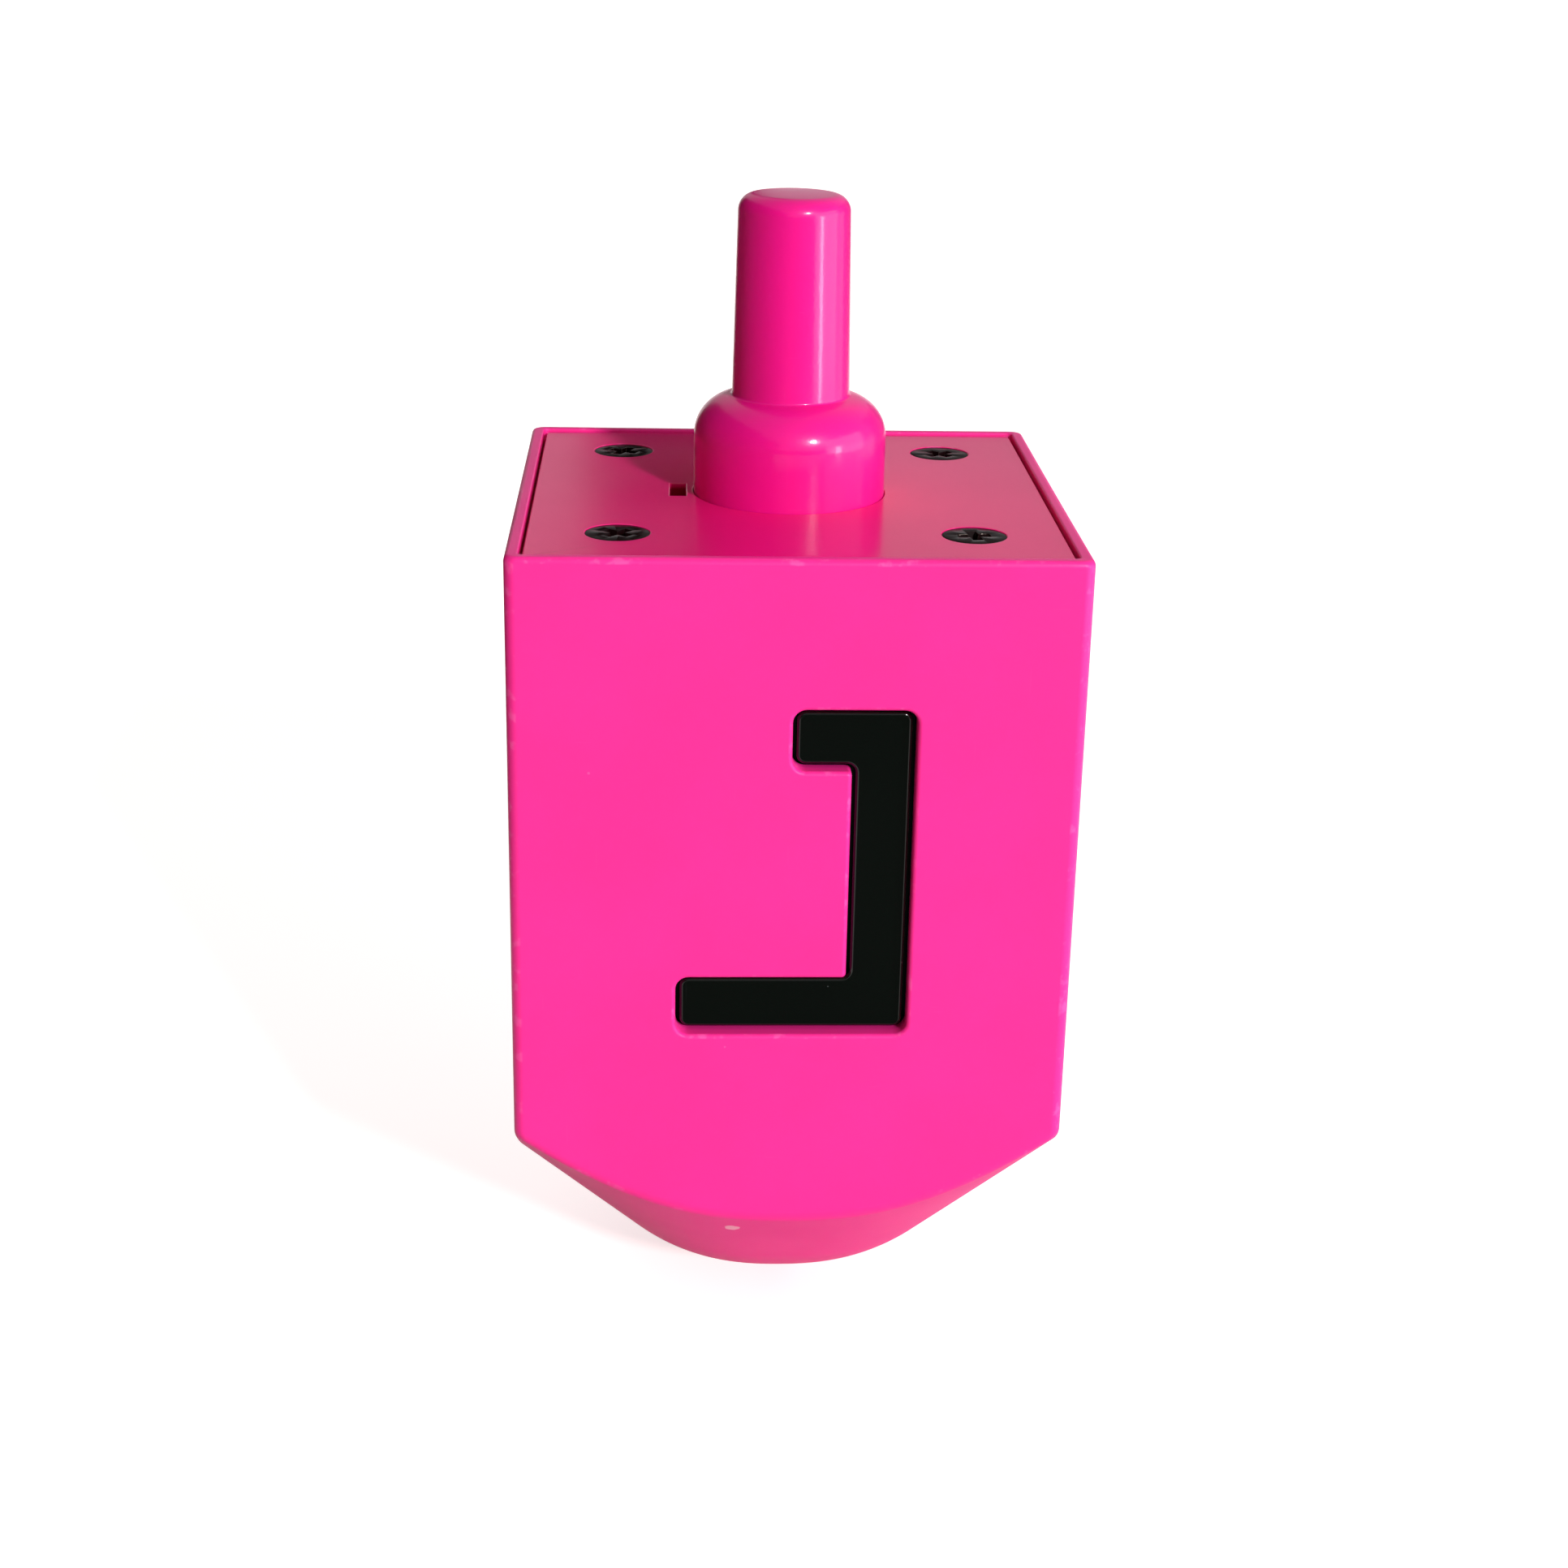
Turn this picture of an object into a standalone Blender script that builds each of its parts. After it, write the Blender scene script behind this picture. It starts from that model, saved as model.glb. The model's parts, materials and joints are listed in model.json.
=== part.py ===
"""A four-sided plastic dreidel: a hollow body with letter windows, a screwed-on lid and a finger stem.

Units are metres, +Z is up, the axis of spin is the Z axis, and the spinning point is at the origin.
"""

from math import atan, atan2, cos, degrees, pi, radians, sin, sqrt, tan

import bmesh
import bpy
from mathutils import Matrix, Vector

# Body: a square tube whose lower end is a squarish cone that runs into a ball and a small spinning point
BODY_WIDTH = 0.050
FACE_HEIGHT = 0.0631  # rim down to where the middle of a face would meet the cone
WALL = 0.0020
CORNER_RADIUS = 0.0010
CONE_SLOPE = radians(45)  # below a corner of the body
CONE_SQUARENESS = 2.4  # exponent of the cone's section: 2 is a circle, more is squarer
BALL_RADIUS = 0.025
FACE_EDGE_RADIUS = 0.0020
TIP_LENGTH = 0.0020
TIP_RADIUS = 0.0022
TIP_ROOT_RADIUS = 0.0025
RIM_WALL = 0.0012
RIM_OUTER_RADIUS = 0.0006
RIM_INNER_RADIUS = 0.0002
INNER_CORNER_RADIUS = 0.0005

# Lid
LID_THICKNESS = 0.0020
LID_DEPTH = 0.00025  # how far the lid's top lies below the rim
LID_SIDE_GAP = 0.00035
LID_EDGE_RADIUS = 0.0002

# Fit between pieces
SEAT_GAP = 0.0003
SLIDE_GAP = 0.0002

# Screws, countersunk with a cross recess, and the bosses that they are driven into
SCREW_INSET = 0.0074  # middle of a screw from the inner faces of the two walls beside it
SCREW_LENGTH = 0.0100
SCREW_SHANK_RADIUS = 0.0013
SCREW_HEAD_RADIUS = 0.0028
SCREW_HEAD_LIP = 0.0002
SCREW_POINT_LENGTH = 0.0015
SCREW_SINK = 0.00005
RECESS_LENGTH = 0.0033
RECESS_WIDTH = 0.0009
RECESS_DEPTH = 0.0013
RECESS_FOOT_LENGTH = 0.0015
RECESS_FOOT_WIDTH = 0.0006
SCREW_TURNS = {
    "front_left": radians(48),
    "front_right": radians(8),
    "rear_right": radians(40),
    "rear_left": radians(62),
}
BOSS_RADIUS = 0.0030
BOSS_DEPTH = 0.0105
BOSS_FLOOR = 0.0014
BOSS_WEB = 0.0014
BOSS_WEB_DROP = 0.0010

# Finger stem: a tapered post on a rounded collar, with a flange below the lid and a key against turning
STEM_HEIGHT = 0.0269  # top of the post above the rim
POST_TOP_RADIUS = 0.00507
POST_DRAFT = radians(1.1)
POST_END_RADIUS = 0.0015
COLLAR_HEIGHT = 0.0088  # above the rim
COLLAR_RADIUS = 0.00885
COLLAR_ROUNDING = 0.00375
FLANGE_RADIUS = 0.0124
FLANGE_THICKNESS = 0.0016
POST_CORE_RADIUS = 0.0032
COLLAR_CORE_RADIUS = 0.0052
STEM_WALL_TOP = 0.0020
SLOT_LENGTH = 0.0048
SLOT_WIDTH = 0.0015
SLOT_OFFSET = 0.0103  # middle of the slot from the axis, on the -X side
KEY_RISE = 0.0006  # top of the key above the lid's underside

# Letters: black plates behind the walls, each with a letter that stands into its window
LETTER_HEIGHT = 0.0300
LETTER_WIDTH = 0.0200
STROKE = 0.0048
GIMEL_FOOT_WIDTH = 1.2 * STROKE
GIMEL_FORK_HEIGHT = LETTER_HEIGHT / 3  # where the two legs part, above the letter's foot
HEI_LEG_DROP = 1.8 * STROKE  # top of the loose leg below the letter's top
LETTER_CENTRE = 0.0288  # below the rim
LETTER_SINK = 0.0010  # face of the letter below the face of the body
LETTER_CORNER = 0.0008
TIGHTEST_CORNER = 0.3  # an inner corner that is squeezed keeps this share of its rounding
LETTER_EDGE_RADIUS = 0.0003
WINDOW_GAP = 0.0004
WINDOW_EDGE_RADIUS = 0.0004
PLATE_MARGIN = 0.0028
PLATE_THICKNESS = 0.0012
PLATE_CORNER = 0.0020

# Smoothness: how many steps a side or a rounding is made of
SIDE_STEPS = 12
CORNER_STEPS = 4
TURN_STEPS = 48
SCREW_STEPS = 24
PILOT_STEPS = 16
BALL_STEPS = 9
INNER_BALL_STEPS = 5
FACE_EDGE_STEPS = 4
COLLAR_STEPS = 8
POST_END_STEPS = 5
SMALL_ARC_STEPS = 3
SHARP_BEND = radians(32)
OVERLAP = 0.0004  # how far a cutter or a joined form reaches past the face it meets

# Heights worked out from the sizes above, with the spinning point at zero
HALF_WIDTH = BODY_WIDTH / 2
FLAT_SHARE = 2 ** (1 / CONE_SQUARENESS - 1 / 2)  # the cone's radius towards a face over that at a corner
FACE_REACH = HALF_WIDTH / FLAT_SHARE
BALL_TANGENT_RADIUS = BALL_RADIUS * sin(CONE_SLOPE)
BALL_CENTRE_DEPTH = (
    FACE_HEIGHT
    + (FACE_REACH - BALL_TANGENT_RADIUS) * tan(CONE_SLOPE)
    - BALL_RADIUS * cos(CONE_SLOPE)
)
RIM_HEIGHT = BALL_CENTRE_DEPTH + BALL_RADIUS + TIP_LENGTH
BALL_CENTRE = RIM_HEIGHT - BALL_CENTRE_DEPTH
LID_TOP = RIM_HEIGHT - LID_DEPTH
LID_BOTTOM = LID_TOP - LID_THICKNESS
LEDGE_HEIGHT = LID_BOTTOM - SEAT_GAP
RIM_INNER_HALF = HALF_WIDTH - RIM_WALL
INNER_HALF = HALF_WIDTH - WALL
LID_HALF = RIM_INNER_HALF - LID_SIDE_GAP

PINK = (0.95, 0.045, 0.33)
PINK_LID = (0.90, 0.042, 0.30)
BLACK = (0.008, 0.010, 0.010)
SCREW_BLACK = (0.012, 0.012, 0.013)


# Helpers


def clear_scene():
    for obj in list(bpy.data.objects):
        bpy.data.objects.remove(obj, do_unlink=True)


def make_material(name, colour, roughness, metallic=0.0):
    material = bpy.data.materials.new(name)
    material.use_nodes = True
    shader = material.node_tree.nodes["Principled BSDF"]
    shader.inputs["Base Color"].default_value = (*colour, 1.0)
    shader.inputs["Roughness"].default_value = roughness
    shader.inputs["Metallic"].default_value = metallic
    return material


def add_object(name, mesh, material=None, helper_group=None):
    """A piece of the dreidel or, with a helper group, a hidden cutter or join of that collection."""
    obj = bpy.data.objects.new(name, mesh)
    if helper_group is None:
        bpy.context.scene.collection.objects.link(obj)
    else:
        helper_group.objects.link(obj)
        obj.hide_render = True
        obj.display_type = "WIRE"
    if material is not None:
        mesh.materials.append(material)
    mesh.shade_smooth()
    mesh.set_sharp_from_angle(angle=SHARP_BEND)
    return obj


def helper_collection(name):
    group = bpy.data.collections.new(name)
    bpy.context.scene.collection.children.link(group)
    return group


def combine(obj, group, operation):
    modifier = obj.modifiers.new(group.name, "BOOLEAN")
    modifier.operation = operation
    modifier.operand_type = "COLLECTION"
    modifier.collection = group
    modifier.solver = "EXACT"


def loft(name, rings):
    """A closed mesh through rings of equally many points; a ring of one point is a pole."""
    bm = bmesh.new()
    rows = [[bm.verts.new(point) for point in ring] for ring in rings]
    for lower, upper in zip(rows, rows[1:]):
        count = max(len(lower), len(upper))
        for i in range(count):
            j = (i + 1) % count
            if len(lower) == 1:
                bm.faces.new((lower[0], upper[j], upper[i]))
            elif len(upper) == 1:
                bm.faces.new((lower[i], lower[j], upper[0]))
            else:
                bm.faces.new((lower[i], lower[j], upper[j], upper[i]))
    for row in (rows[0], rows[-1]):
        if len(row) > 1:
            bm.faces.new(row)
    bmesh.ops.recalc_face_normals(bm, faces=bm.faces)
    mesh = bpy.data.meshes.new(name)
    bm.to_mesh(mesh)
    bm.free()
    return mesh


def turned(name, profile, steps, centre=(0.0, 0.0)):
    """A mesh made by turning (radius, height) points about a vertical line; a radius of zero is a pole."""
    rings = []
    for radius, height in profile:
        if radius == 0:
            rings.append([(centre[0], centre[1], height)])
            continue
        angles = [2 * pi * i / steps for i in range(steps)]
        rings.append([(centre[0] + radius * cos(a), centre[1] + radius * sin(a), height) for a in angles])
    return loft(name, rings)


def arc(centre, radius, start, end, steps):
    """Points of an arc in a plane, from one angle to another in degrees, both ends included."""
    angles = [radians(start + (end - start) * i / steps) for i in range(steps + 1)]
    return [(centre[0] + radius * cos(a), centre[1] + radius * sin(a)) for a in angles]


def grown(corners, distance):
    """The corners of a counter-clockwise outline with every side moved outwards by a distance."""
    moved = []
    for before, here, after in zip(corners[-1:] + corners[:-1], corners, corners[1:] + corners[:1]):
        first = (Vector(here) - Vector(before)).normalized()
        second = (Vector(after) - Vector(here)).normalized()
        outward = Vector((first.y, -first.x)) + Vector((second.y, -second.x))
        moved.append(Vector(here) + outward * (distance / (1 + first.dot(second))))
    return moved


def rounded(corners, radius, grow=0.0):
    """A counter-clockwise outline, grown by a distance, with its outer and inner corners rounded."""
    sides = grown(corners, grow)
    outline = []
    for before, here, after in zip(sides[-1:] + sides[:-1], sides, sides[1:] + sides[:1]):
        first = (here - before).normalized()
        second = (after - here).normalized()
        turn = first.angle_signed(second)
        bend = radius + grow if turn < 0 else max(radius - grow, TIGHTEST_CORNER * radius)
        reach = bend * tan(abs(turn) / 2)
        start = here - first * reach
        inward = Vector((-first.y, first.x)) if turn < 0 else Vector((first.y, -first.x))
        centre = start + inward * bend
        for i in range(SMALL_ARC_STEPS + 1):
            outline.append(centre + Matrix.Rotation(-turn * i / SMALL_ARC_STEPS, 2) @ (start - centre))
    return outline


def rectangle(width, height):
    w = width / 2
    h = height / 2
    return [(-w, -h), (w, -h), (w, h), (-w, h)]


def flat_ring(outline, height):
    return [(point[0], point[1], height) for point in outline]


def wall_ring(outline, depth):
    """An outline drawn on the front face, a depth below its surface, centred on the letter's place."""
    return [(point[0], -HALF_WIDTH + depth, RIM_HEIGHT - LETTER_CENTRE + point[1]) for point in outline]


# Body


def square_radius(angle, half, corner):
    """Distance from the axis to a square with rounded corners, in the direction of an angle."""
    long_side = max(abs(cos(angle)), abs(sin(angle)))
    short_side = min(abs(cos(angle)), abs(sin(angle)))
    arc_start = half - corner
    if half * short_side / long_side <= arc_start:
        return half / long_side
    along = arc_start * (long_side + short_side)
    return along + sqrt(along * along - 2 * arc_start * arc_start + corner * corner)


def column_angles():
    """Directions of the body's columns: even steps along each side, and closer ones round each corner."""
    side_end = (HALF_WIDTH - CORNER_RADIUS) / HALF_WIDTH
    side = [Vector((1, side_end * (2 * i / SIDE_STEPS - 1))) for i in range(SIDE_STEPS + 1)]
    corner_centre = (side_end, side_end)
    corner_points = arc(corner_centre, CORNER_RADIUS / HALF_WIDTH, 0, 90, CORNER_STEPS)[1:-1]
    points = side + [Vector(point) for point in corner_points]
    quarter = [atan2(point.y, point.x) for point in points]
    return [angle + turn * pi / 2 for turn in range(4) for angle in quarter]


def section_share(angle):
    """The cone's radius in the direction of an angle, as a share of its radius towards a corner."""
    power = CONE_SQUARENESS
    return FLAT_SHARE * (abs(cos(angle)) ** power + abs(sin(angle)) ** power) ** (-1 / power)


def cone_height(reach, offset=0.0):
    """Height of the cone where its radius towards a corner is the reach, or an offset inside the cone."""
    return RIM_HEIGHT - FACE_HEIGHT - (FACE_REACH - reach) * tan(CONE_SLOPE) + offset / cos(CONE_SLOPE)


def ball_arc(radius, start, end, steps, share):
    """An arc about the ball's centre, drawn in towards the axis by a share."""
    points = arc((0, BALL_CENTRE), radius, start, end, steps)
    return [(across * share, height) for across, height in points]


def tip_profile(share):
    """Ball, hollow root and rounded point below the cone, from the ball's upper edge down to the axis."""
    point_centre = TIP_RADIUS
    to_ball = BALL_RADIUS + TIP_ROOT_RADIUS
    to_point = TIP_RADIUS + TIP_ROOT_RADIUS
    between = BALL_CENTRE - point_centre
    down = (to_ball**2 - to_point**2 + between**2) / (2 * between)
    out = sqrt(to_ball**2 - down**2)
    root_centre = Vector((out, BALL_CENTRE - down))
    from_ball = root_centre - Vector((0, BALL_CENTRE))
    from_point = root_centre - Vector((0, point_centre))
    ball_end = degrees(atan2(from_ball.y, from_ball.x))
    point_start = degrees(atan2(from_point.y, from_point.x))
    ball = ball_arc(BALL_RADIUS, degrees(CONE_SLOPE) - 90, ball_end, BALL_STEPS, share)
    root = arc(root_centre, TIP_ROOT_RADIUS, ball_end + 180, point_start + 180, SMALL_ARC_STEPS)
    point = arc((0, point_centre), TIP_RADIUS, point_start, -90, SMALL_ARC_STEPS)
    return ball + root[1:-1] + point[:-1] + [(0, 0)]


def wall_profile(angle):
    """Section of the body in one direction: up the inside, over the rim, down the outside to the point."""
    outer = square_radius(angle, HALF_WIDTH, CORNER_RADIUS)
    inner = square_radius(angle, INNER_HALF, INNER_CORNER_RADIUS)
    rim = square_radius(angle, RIM_INNER_HALF, INNER_CORNER_RADIUS)
    share = section_share(angle)
    inner_ball = BALL_RADIUS - WALL
    points = [(0, BALL_CENTRE - inner_ball)]
    points += ball_arc(inner_ball, -90, degrees(CONE_SLOPE) - 90, INNER_BALL_STEPS, share)[1:]
    points += [
        (inner, cone_height(inner / share, WALL)),
        (inner, LEDGE_HEIGHT),
        (rim, LEDGE_HEIGHT),
        (rim, RIM_HEIGHT - RIM_INNER_RADIUS),
        (rim + RIM_INNER_RADIUS, RIM_HEIGHT),
    ]
    rim_centre = (outer - RIM_OUTER_RADIUS, RIM_HEIGHT - RIM_OUTER_RADIUS)
    points += arc(rim_centre, RIM_OUTER_RADIUS, 90, 0, SMALL_ARC_STEPS)
    slope = atan(tan(CONE_SLOPE) / share)
    edge_rise = FACE_EDGE_RADIUS * (1 / cos(slope) - tan(slope))
    edge_centre = (outer - FACE_EDGE_RADIUS, cone_height(outer / share) + edge_rise)
    points += arc(edge_centre, FACE_EDGE_RADIUS, 0, degrees(slope) - 90, FACE_EDGE_STEPS)
    return points + tip_profile(share)


def body_mesh():
    columns = [(angle, wall_profile(angle)) for angle in column_angles()]
    rings = []
    for i in range(len(columns[0][1])):
        if columns[0][1][i][0] == 0:
            rings.append([(0, 0, columns[0][1][i][1])])
            continue
        rings.append([(p[i][0] * cos(a), p[i][0] * sin(a), p[i][1]) for a, p in columns])
    return loft("body_shell", rings)


def screw_places():
    half = INNER_HALF - SCREW_INSET
    return {
        "front_left": (-half, -half),
        "front_right": (half, -half),
        "rear_right": (half, half),
        "rear_left": (-half, half),
    }


def add_bosses(group):
    """Screw bosses inside the corners, each carried by a web that runs to its corner of the body."""
    top = LEDGE_HEIGHT
    bottom = top - BOSS_DEPTH
    boss_profile = [(0, bottom), (BOSS_RADIUS, bottom), (BOSS_RADIUS, top), (0, top)]
    for place, (x, y) in screw_places().items():
        boss = turned("boss", boss_profile, SCREW_STEPS, (x, y))
        add_object(f"boss_{place}", boss, helper_group=group)
        out = Vector((x, y)).normalized()
        side = Vector((-out.y, out.x)) * (BOSS_WEB / 2)
        far = out * (sqrt(2) * INNER_HALF + OVERLAP)
        near = Vector((x, y))
        outline = [near - side, far - side, far + side, near + side]
        levels = (bottom + BOSS_WEB_DROP, top - BOSS_WEB_DROP)
        web = loft("web", [flat_ring(outline, level) for level in levels])
        add_object(f"web_{place}", web, helper_group=group)


def add_pilot_cutters(group):
    top = LEDGE_HEIGHT + OVERLAP
    bottom = LEDGE_HEIGHT - BOSS_DEPTH + BOSS_FLOOR
    radius = SCREW_SHANK_RADIUS + SEAT_GAP
    pilot_profile = [(0, bottom), (radius, bottom), (radius, top), (0, top)]
    for place, centre in screw_places().items():
        pilot = turned("pilot", pilot_profile, PILOT_STEPS, centre)
        add_object(f"pilot_{place}", pilot, helper_group=group)


# Letters: plain block forms made of straight strokes, as counter-clockwise corners round their own centre


def letter_outlines():
    w = LETTER_WIDTH / 2
    h = LETTER_HEIGHT / 2
    s = STROKE
    right = w - s
    nun = [(-w, -h), (w, -h), (w, h), (0, h), (0, h - s), (right, h - s), (right, s - h), (-w, s - h)]
    fork = GIMEL_FORK_HEIGHT - h
    gimel = [
        (-w, -h), (GIMEL_FOOT_WIDTH - w, -h), (right, fork), (right, -h), (w, -h),
        (w, h), (0, h), (0, h - s), (right, h - s), (right, 0), (-w, s / 2 - h),
    ]
    hei = [(right, -h), (w, -h), (w, h), (-w, h), (-w, h - s), (right, h - s)]
    leg_top = h - HEI_LEG_DROP
    hei_leg = [(-w, -h), (s - w, -h), (s - w, leg_top), (-w, leg_top)]
    m = s / 2
    shin = [
        (-w, -h), (w, -h), (w, h), (right, h), (right, s - h), (m, s - h),
        (m, h), (-m, h), (-m, s - h), (-right, s - h), (-right, h), (-w, h),
    ]
    return {"nun": [nun], "gimel": [gimel], "hei": [hei, hei_leg], "shin": [shin]}


def face_turns():
    """Each letter's face, as a turn about the axis from the front."""
    return {"nun": 0, "gimel": -90, "hei": 180, "shin": 90}


def turn_about_axis(mesh, degrees):
    mesh.transform(Matrix.Rotation(radians(degrees), 4, "Z"))
    return mesh


def add_window_cutters(group):
    """Letter-shaped cutters that widen where they leave the face, which rounds the edge of each window."""
    flare = WINDOW_EDGE_RADIUS
    for letter, outlines in letter_outlines().items():
        for number, corners in enumerate(outlines):
            rings = [wall_ring(rounded(corners, LETTER_CORNER, WINDOW_GAP), WALL + OVERLAP)]
            for angle in (0, 30, 60, 90):
                widen = WINDOW_GAP + flare * (1 - cos(radians(angle)))
                depth = flare * (1 - sin(radians(angle)))
                rings.append(wall_ring(rounded(corners, LETTER_CORNER, widen), depth))
            rings.append(wall_ring(rounded(corners, LETTER_CORNER, WINDOW_GAP + flare), -OVERLAP))
            cutter = turn_about_axis(loft("window", rings), face_turns()[letter])
            add_object(f"window_{letter}_{number + 1}", cutter, helper_group=group)


def plate_outline():
    corners = rectangle(LETTER_WIDTH + 2 * PLATE_MARGIN, LETTER_HEIGHT + 2 * PLATE_MARGIN)
    return rounded(corners, PLATE_CORNER)


def add_letter_plate(letter, outlines, material):
    """A backing plate behind the wall, joined to the strokes that stand into the window."""
    front = WALL + SEAT_GAP
    rings = [wall_ring(plate_outline(), depth) for depth in (front, front + PLATE_THICKNESS)]
    turn = face_turns()[letter]
    plate = turn_about_axis(loft(f"letter_{letter}", rings), turn)
    obj = add_object(f"letter_{letter}", plate, material)
    strokes = helper_collection(f"strokes_{letter}")
    edge = LETTER_EDGE_RADIUS
    levels = [(0.0, front + PLATE_THICKNESS / 2), (0.0, LETTER_SINK + edge)]
    for angle in (radians(45), radians(90)):
        levels.append((-edge * (1 - cos(angle)), LETTER_SINK + edge * (1 - sin(angle))))
    for number, corners in enumerate(outlines):
        rings = [wall_ring(rounded(corners, LETTER_CORNER, grow), depth) for grow, depth in levels]
        stroke = turn_about_axis(loft("stroke", rings), turn)
        add_object(f"stroke_{letter}_{number + 1}", stroke, helper_group=strokes)
    combine(obj, strokes, "UNION")
    return obj


def add_body(material):
    obj = add_object("body_shell", body_mesh(), material)
    bosses = helper_collection("bosses")
    pilots = helper_collection("pilot_cutters")
    windows = helper_collection("window_cutters")
    add_bosses(bosses)
    add_pilot_cutters(pilots)
    add_window_cutters(windows)
    combine(obj, bosses, "UNION")
    combine(obj, pilots, "DIFFERENCE")
    combine(obj, windows, "DIFFERENCE")
    return obj


# Lid and screws


def add_lid(material):
    corners = rectangle(2 * LID_HALF, 2 * LID_HALF)
    levels = [(0.0, LID_BOTTOM), (0.0, LID_TOP - LID_EDGE_RADIUS), (-LID_EDGE_RADIUS, LID_TOP)]
    rings = [flat_ring(rounded(corners, INNER_CORNER_RADIUS, grow), height) for grow, height in levels]
    lid = add_object("lid", loft("lid", rings), material)
    cutters = helper_collection("lid_cutters")
    below = LID_BOTTOM - OVERLAP
    above = LID_TOP + OVERLAP
    radius = COLLAR_RADIUS + SLIDE_GAP
    hole = turned("stem_hole", [(0, below), (radius, below), (radius, above), (0, above)], TURN_STEPS)
    add_object("stem_hole", hole, helper_group=cutters)
    slot_outline = [(x - SLOT_OFFSET, y) for x, y in rectangle(SLOT_WIDTH, SLOT_LENGTH)]
    slot = loft("key_slot", [flat_ring(slot_outline, level) for level in (below, above)])
    add_object("key_slot", slot, helper_group=cutters)
    shank = SCREW_SHANK_RADIUS + SLIDE_GAP
    mouth = SCREW_HEAD_RADIUS + SLIDE_GAP
    lip = LID_TOP - SCREW_SINK - SCREW_HEAD_LIP
    narrow = lip - (mouth - shank)
    cone = [(0, below), (shank, below), (shank, narrow), (mouth, lip), (mouth, above), (0, above)]
    for place, centre in screw_places().items():
        add_object(f"sink_{place}", turned("sink", cone, SCREW_STEPS, centre), helper_group=cutters)
    combine(lid, cutters, "DIFFERENCE")
    return lid


def screw_profile():
    top = LID_TOP - SCREW_SINK
    lip = top - SCREW_HEAD_LIP
    end = top - SCREW_LENGTH
    cone_end = lip - (SCREW_HEAD_RADIUS - SCREW_SHANK_RADIUS)
    return [
        (0, end),
        (SCREW_SHANK_RADIUS / 4, end),
        (SCREW_SHANK_RADIUS, end + SCREW_POINT_LENGTH),
        (SCREW_SHANK_RADIUS, cone_end),
        (SCREW_HEAD_RADIUS, lip),
        (SCREW_HEAD_RADIUS, top),
        (0, top),
    ]


def add_screws(material):
    """Four equal screws, each with a cross recess that narrows as it goes down."""
    top = LID_TOP + OVERLAP
    bottom = LID_TOP - SCREW_SINK - RECESS_DEPTH
    upper = rectangle(RECESS_LENGTH, RECESS_WIDTH)
    lower = rectangle(RECESS_FOOT_LENGTH, RECESS_FOOT_WIDTH)
    slots = []
    for degrees_round in (0, 90):
        slot_mesh = loft("recess_slot", [flat_ring(lower, bottom), flat_ring(upper, top)])
        slots.append(turn_about_axis(slot_mesh, degrees_round))
    screw_mesh = turned("screw", screw_profile(), SCREW_STEPS)
    screw_mesh.materials.append(material)
    for place, (x, y) in screw_places().items():
        screw = add_object(f"screw_{place}", screw_mesh)
        screw.location = (x, y, 0)
        screw.rotation_euler = (0, 0, SCREW_TURNS[place])
        recess = helper_collection(f"recess_{place}")
        for number, slot_mesh in enumerate(slots):
            slot = add_object(f"recess_{place}_{number + 1}", slot_mesh, helper_group=recess)
            slot.location = screw.location
            slot.rotation_euler = screw.rotation_euler
        combine(screw, recess, "DIFFERENCE")


# Finger stem


def stem_profile():
    """From the top of the hollow core down to the flange, and up the outside to the post's end."""
    flange_top = LID_BOTTOM - SEAT_GAP
    flange_bottom = flange_top - FLANGE_THICKNESS
    top = RIM_HEIGHT + STEM_HEIGHT
    collar_top = RIM_HEIGHT + COLLAR_HEIGHT
    core_step = collar_top - (COLLAR_RADIUS - COLLAR_CORE_RADIUS)
    post_foot = POST_TOP_RADIUS + (top - POST_END_RADIUS - collar_top) * tan(POST_DRAFT)
    rounding_centre = (COLLAR_RADIUS - COLLAR_ROUNDING, collar_top - COLLAR_ROUNDING)
    collar_arc = arc(rounding_centre, COLLAR_ROUNDING, 0, 90, COLLAR_STEPS)
    collar_arc = [point for point in collar_arc if point[0] > post_foot + OVERLAP]
    end_centre = (POST_TOP_RADIUS - POST_END_RADIUS, top - POST_END_RADIUS)
    post_end = arc(end_centre, POST_END_RADIUS, 0, 90, POST_END_STEPS)
    crease = rounding_centre[1] + sqrt(COLLAR_ROUNDING**2 - (post_foot - rounding_centre[0]) ** 2)
    core_top = top - STEM_WALL_TOP
    return [
        (0, core_top),
        (POST_CORE_RADIUS, core_top),
        (POST_CORE_RADIUS, core_step),
        (COLLAR_CORE_RADIUS, core_step - (COLLAR_CORE_RADIUS - POST_CORE_RADIUS)),
        (COLLAR_CORE_RADIUS, flange_bottom),
        (FLANGE_RADIUS, flange_bottom),
        (FLANGE_RADIUS, flange_top),
        (COLLAR_RADIUS, flange_top),
        *collar_arc,
        (post_foot, crease),
        *post_end,
        (0, top),
    ]


def add_stem(material):
    stem = add_object("finger_stem", turned("finger_stem", stem_profile(), TURN_STEPS), material)
    keys = helper_collection("stem_key")
    width = SLOT_WIDTH - 2 * SLIDE_GAP
    length = SLOT_LENGTH - 2 * SLIDE_GAP
    outline = [(x - SLOT_OFFSET, y) for x, y in rectangle(width, length)]
    levels = (LID_BOTTOM - SEAT_GAP - FLANGE_THICKNESS / 2, LID_BOTTOM + KEY_RISE)
    key = loft("key", [flat_ring(outline, level) for level in levels])
    add_object("stem_key_lug", key, helper_group=keys)
    combine(stem, keys, "UNION")
    return stem


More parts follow.
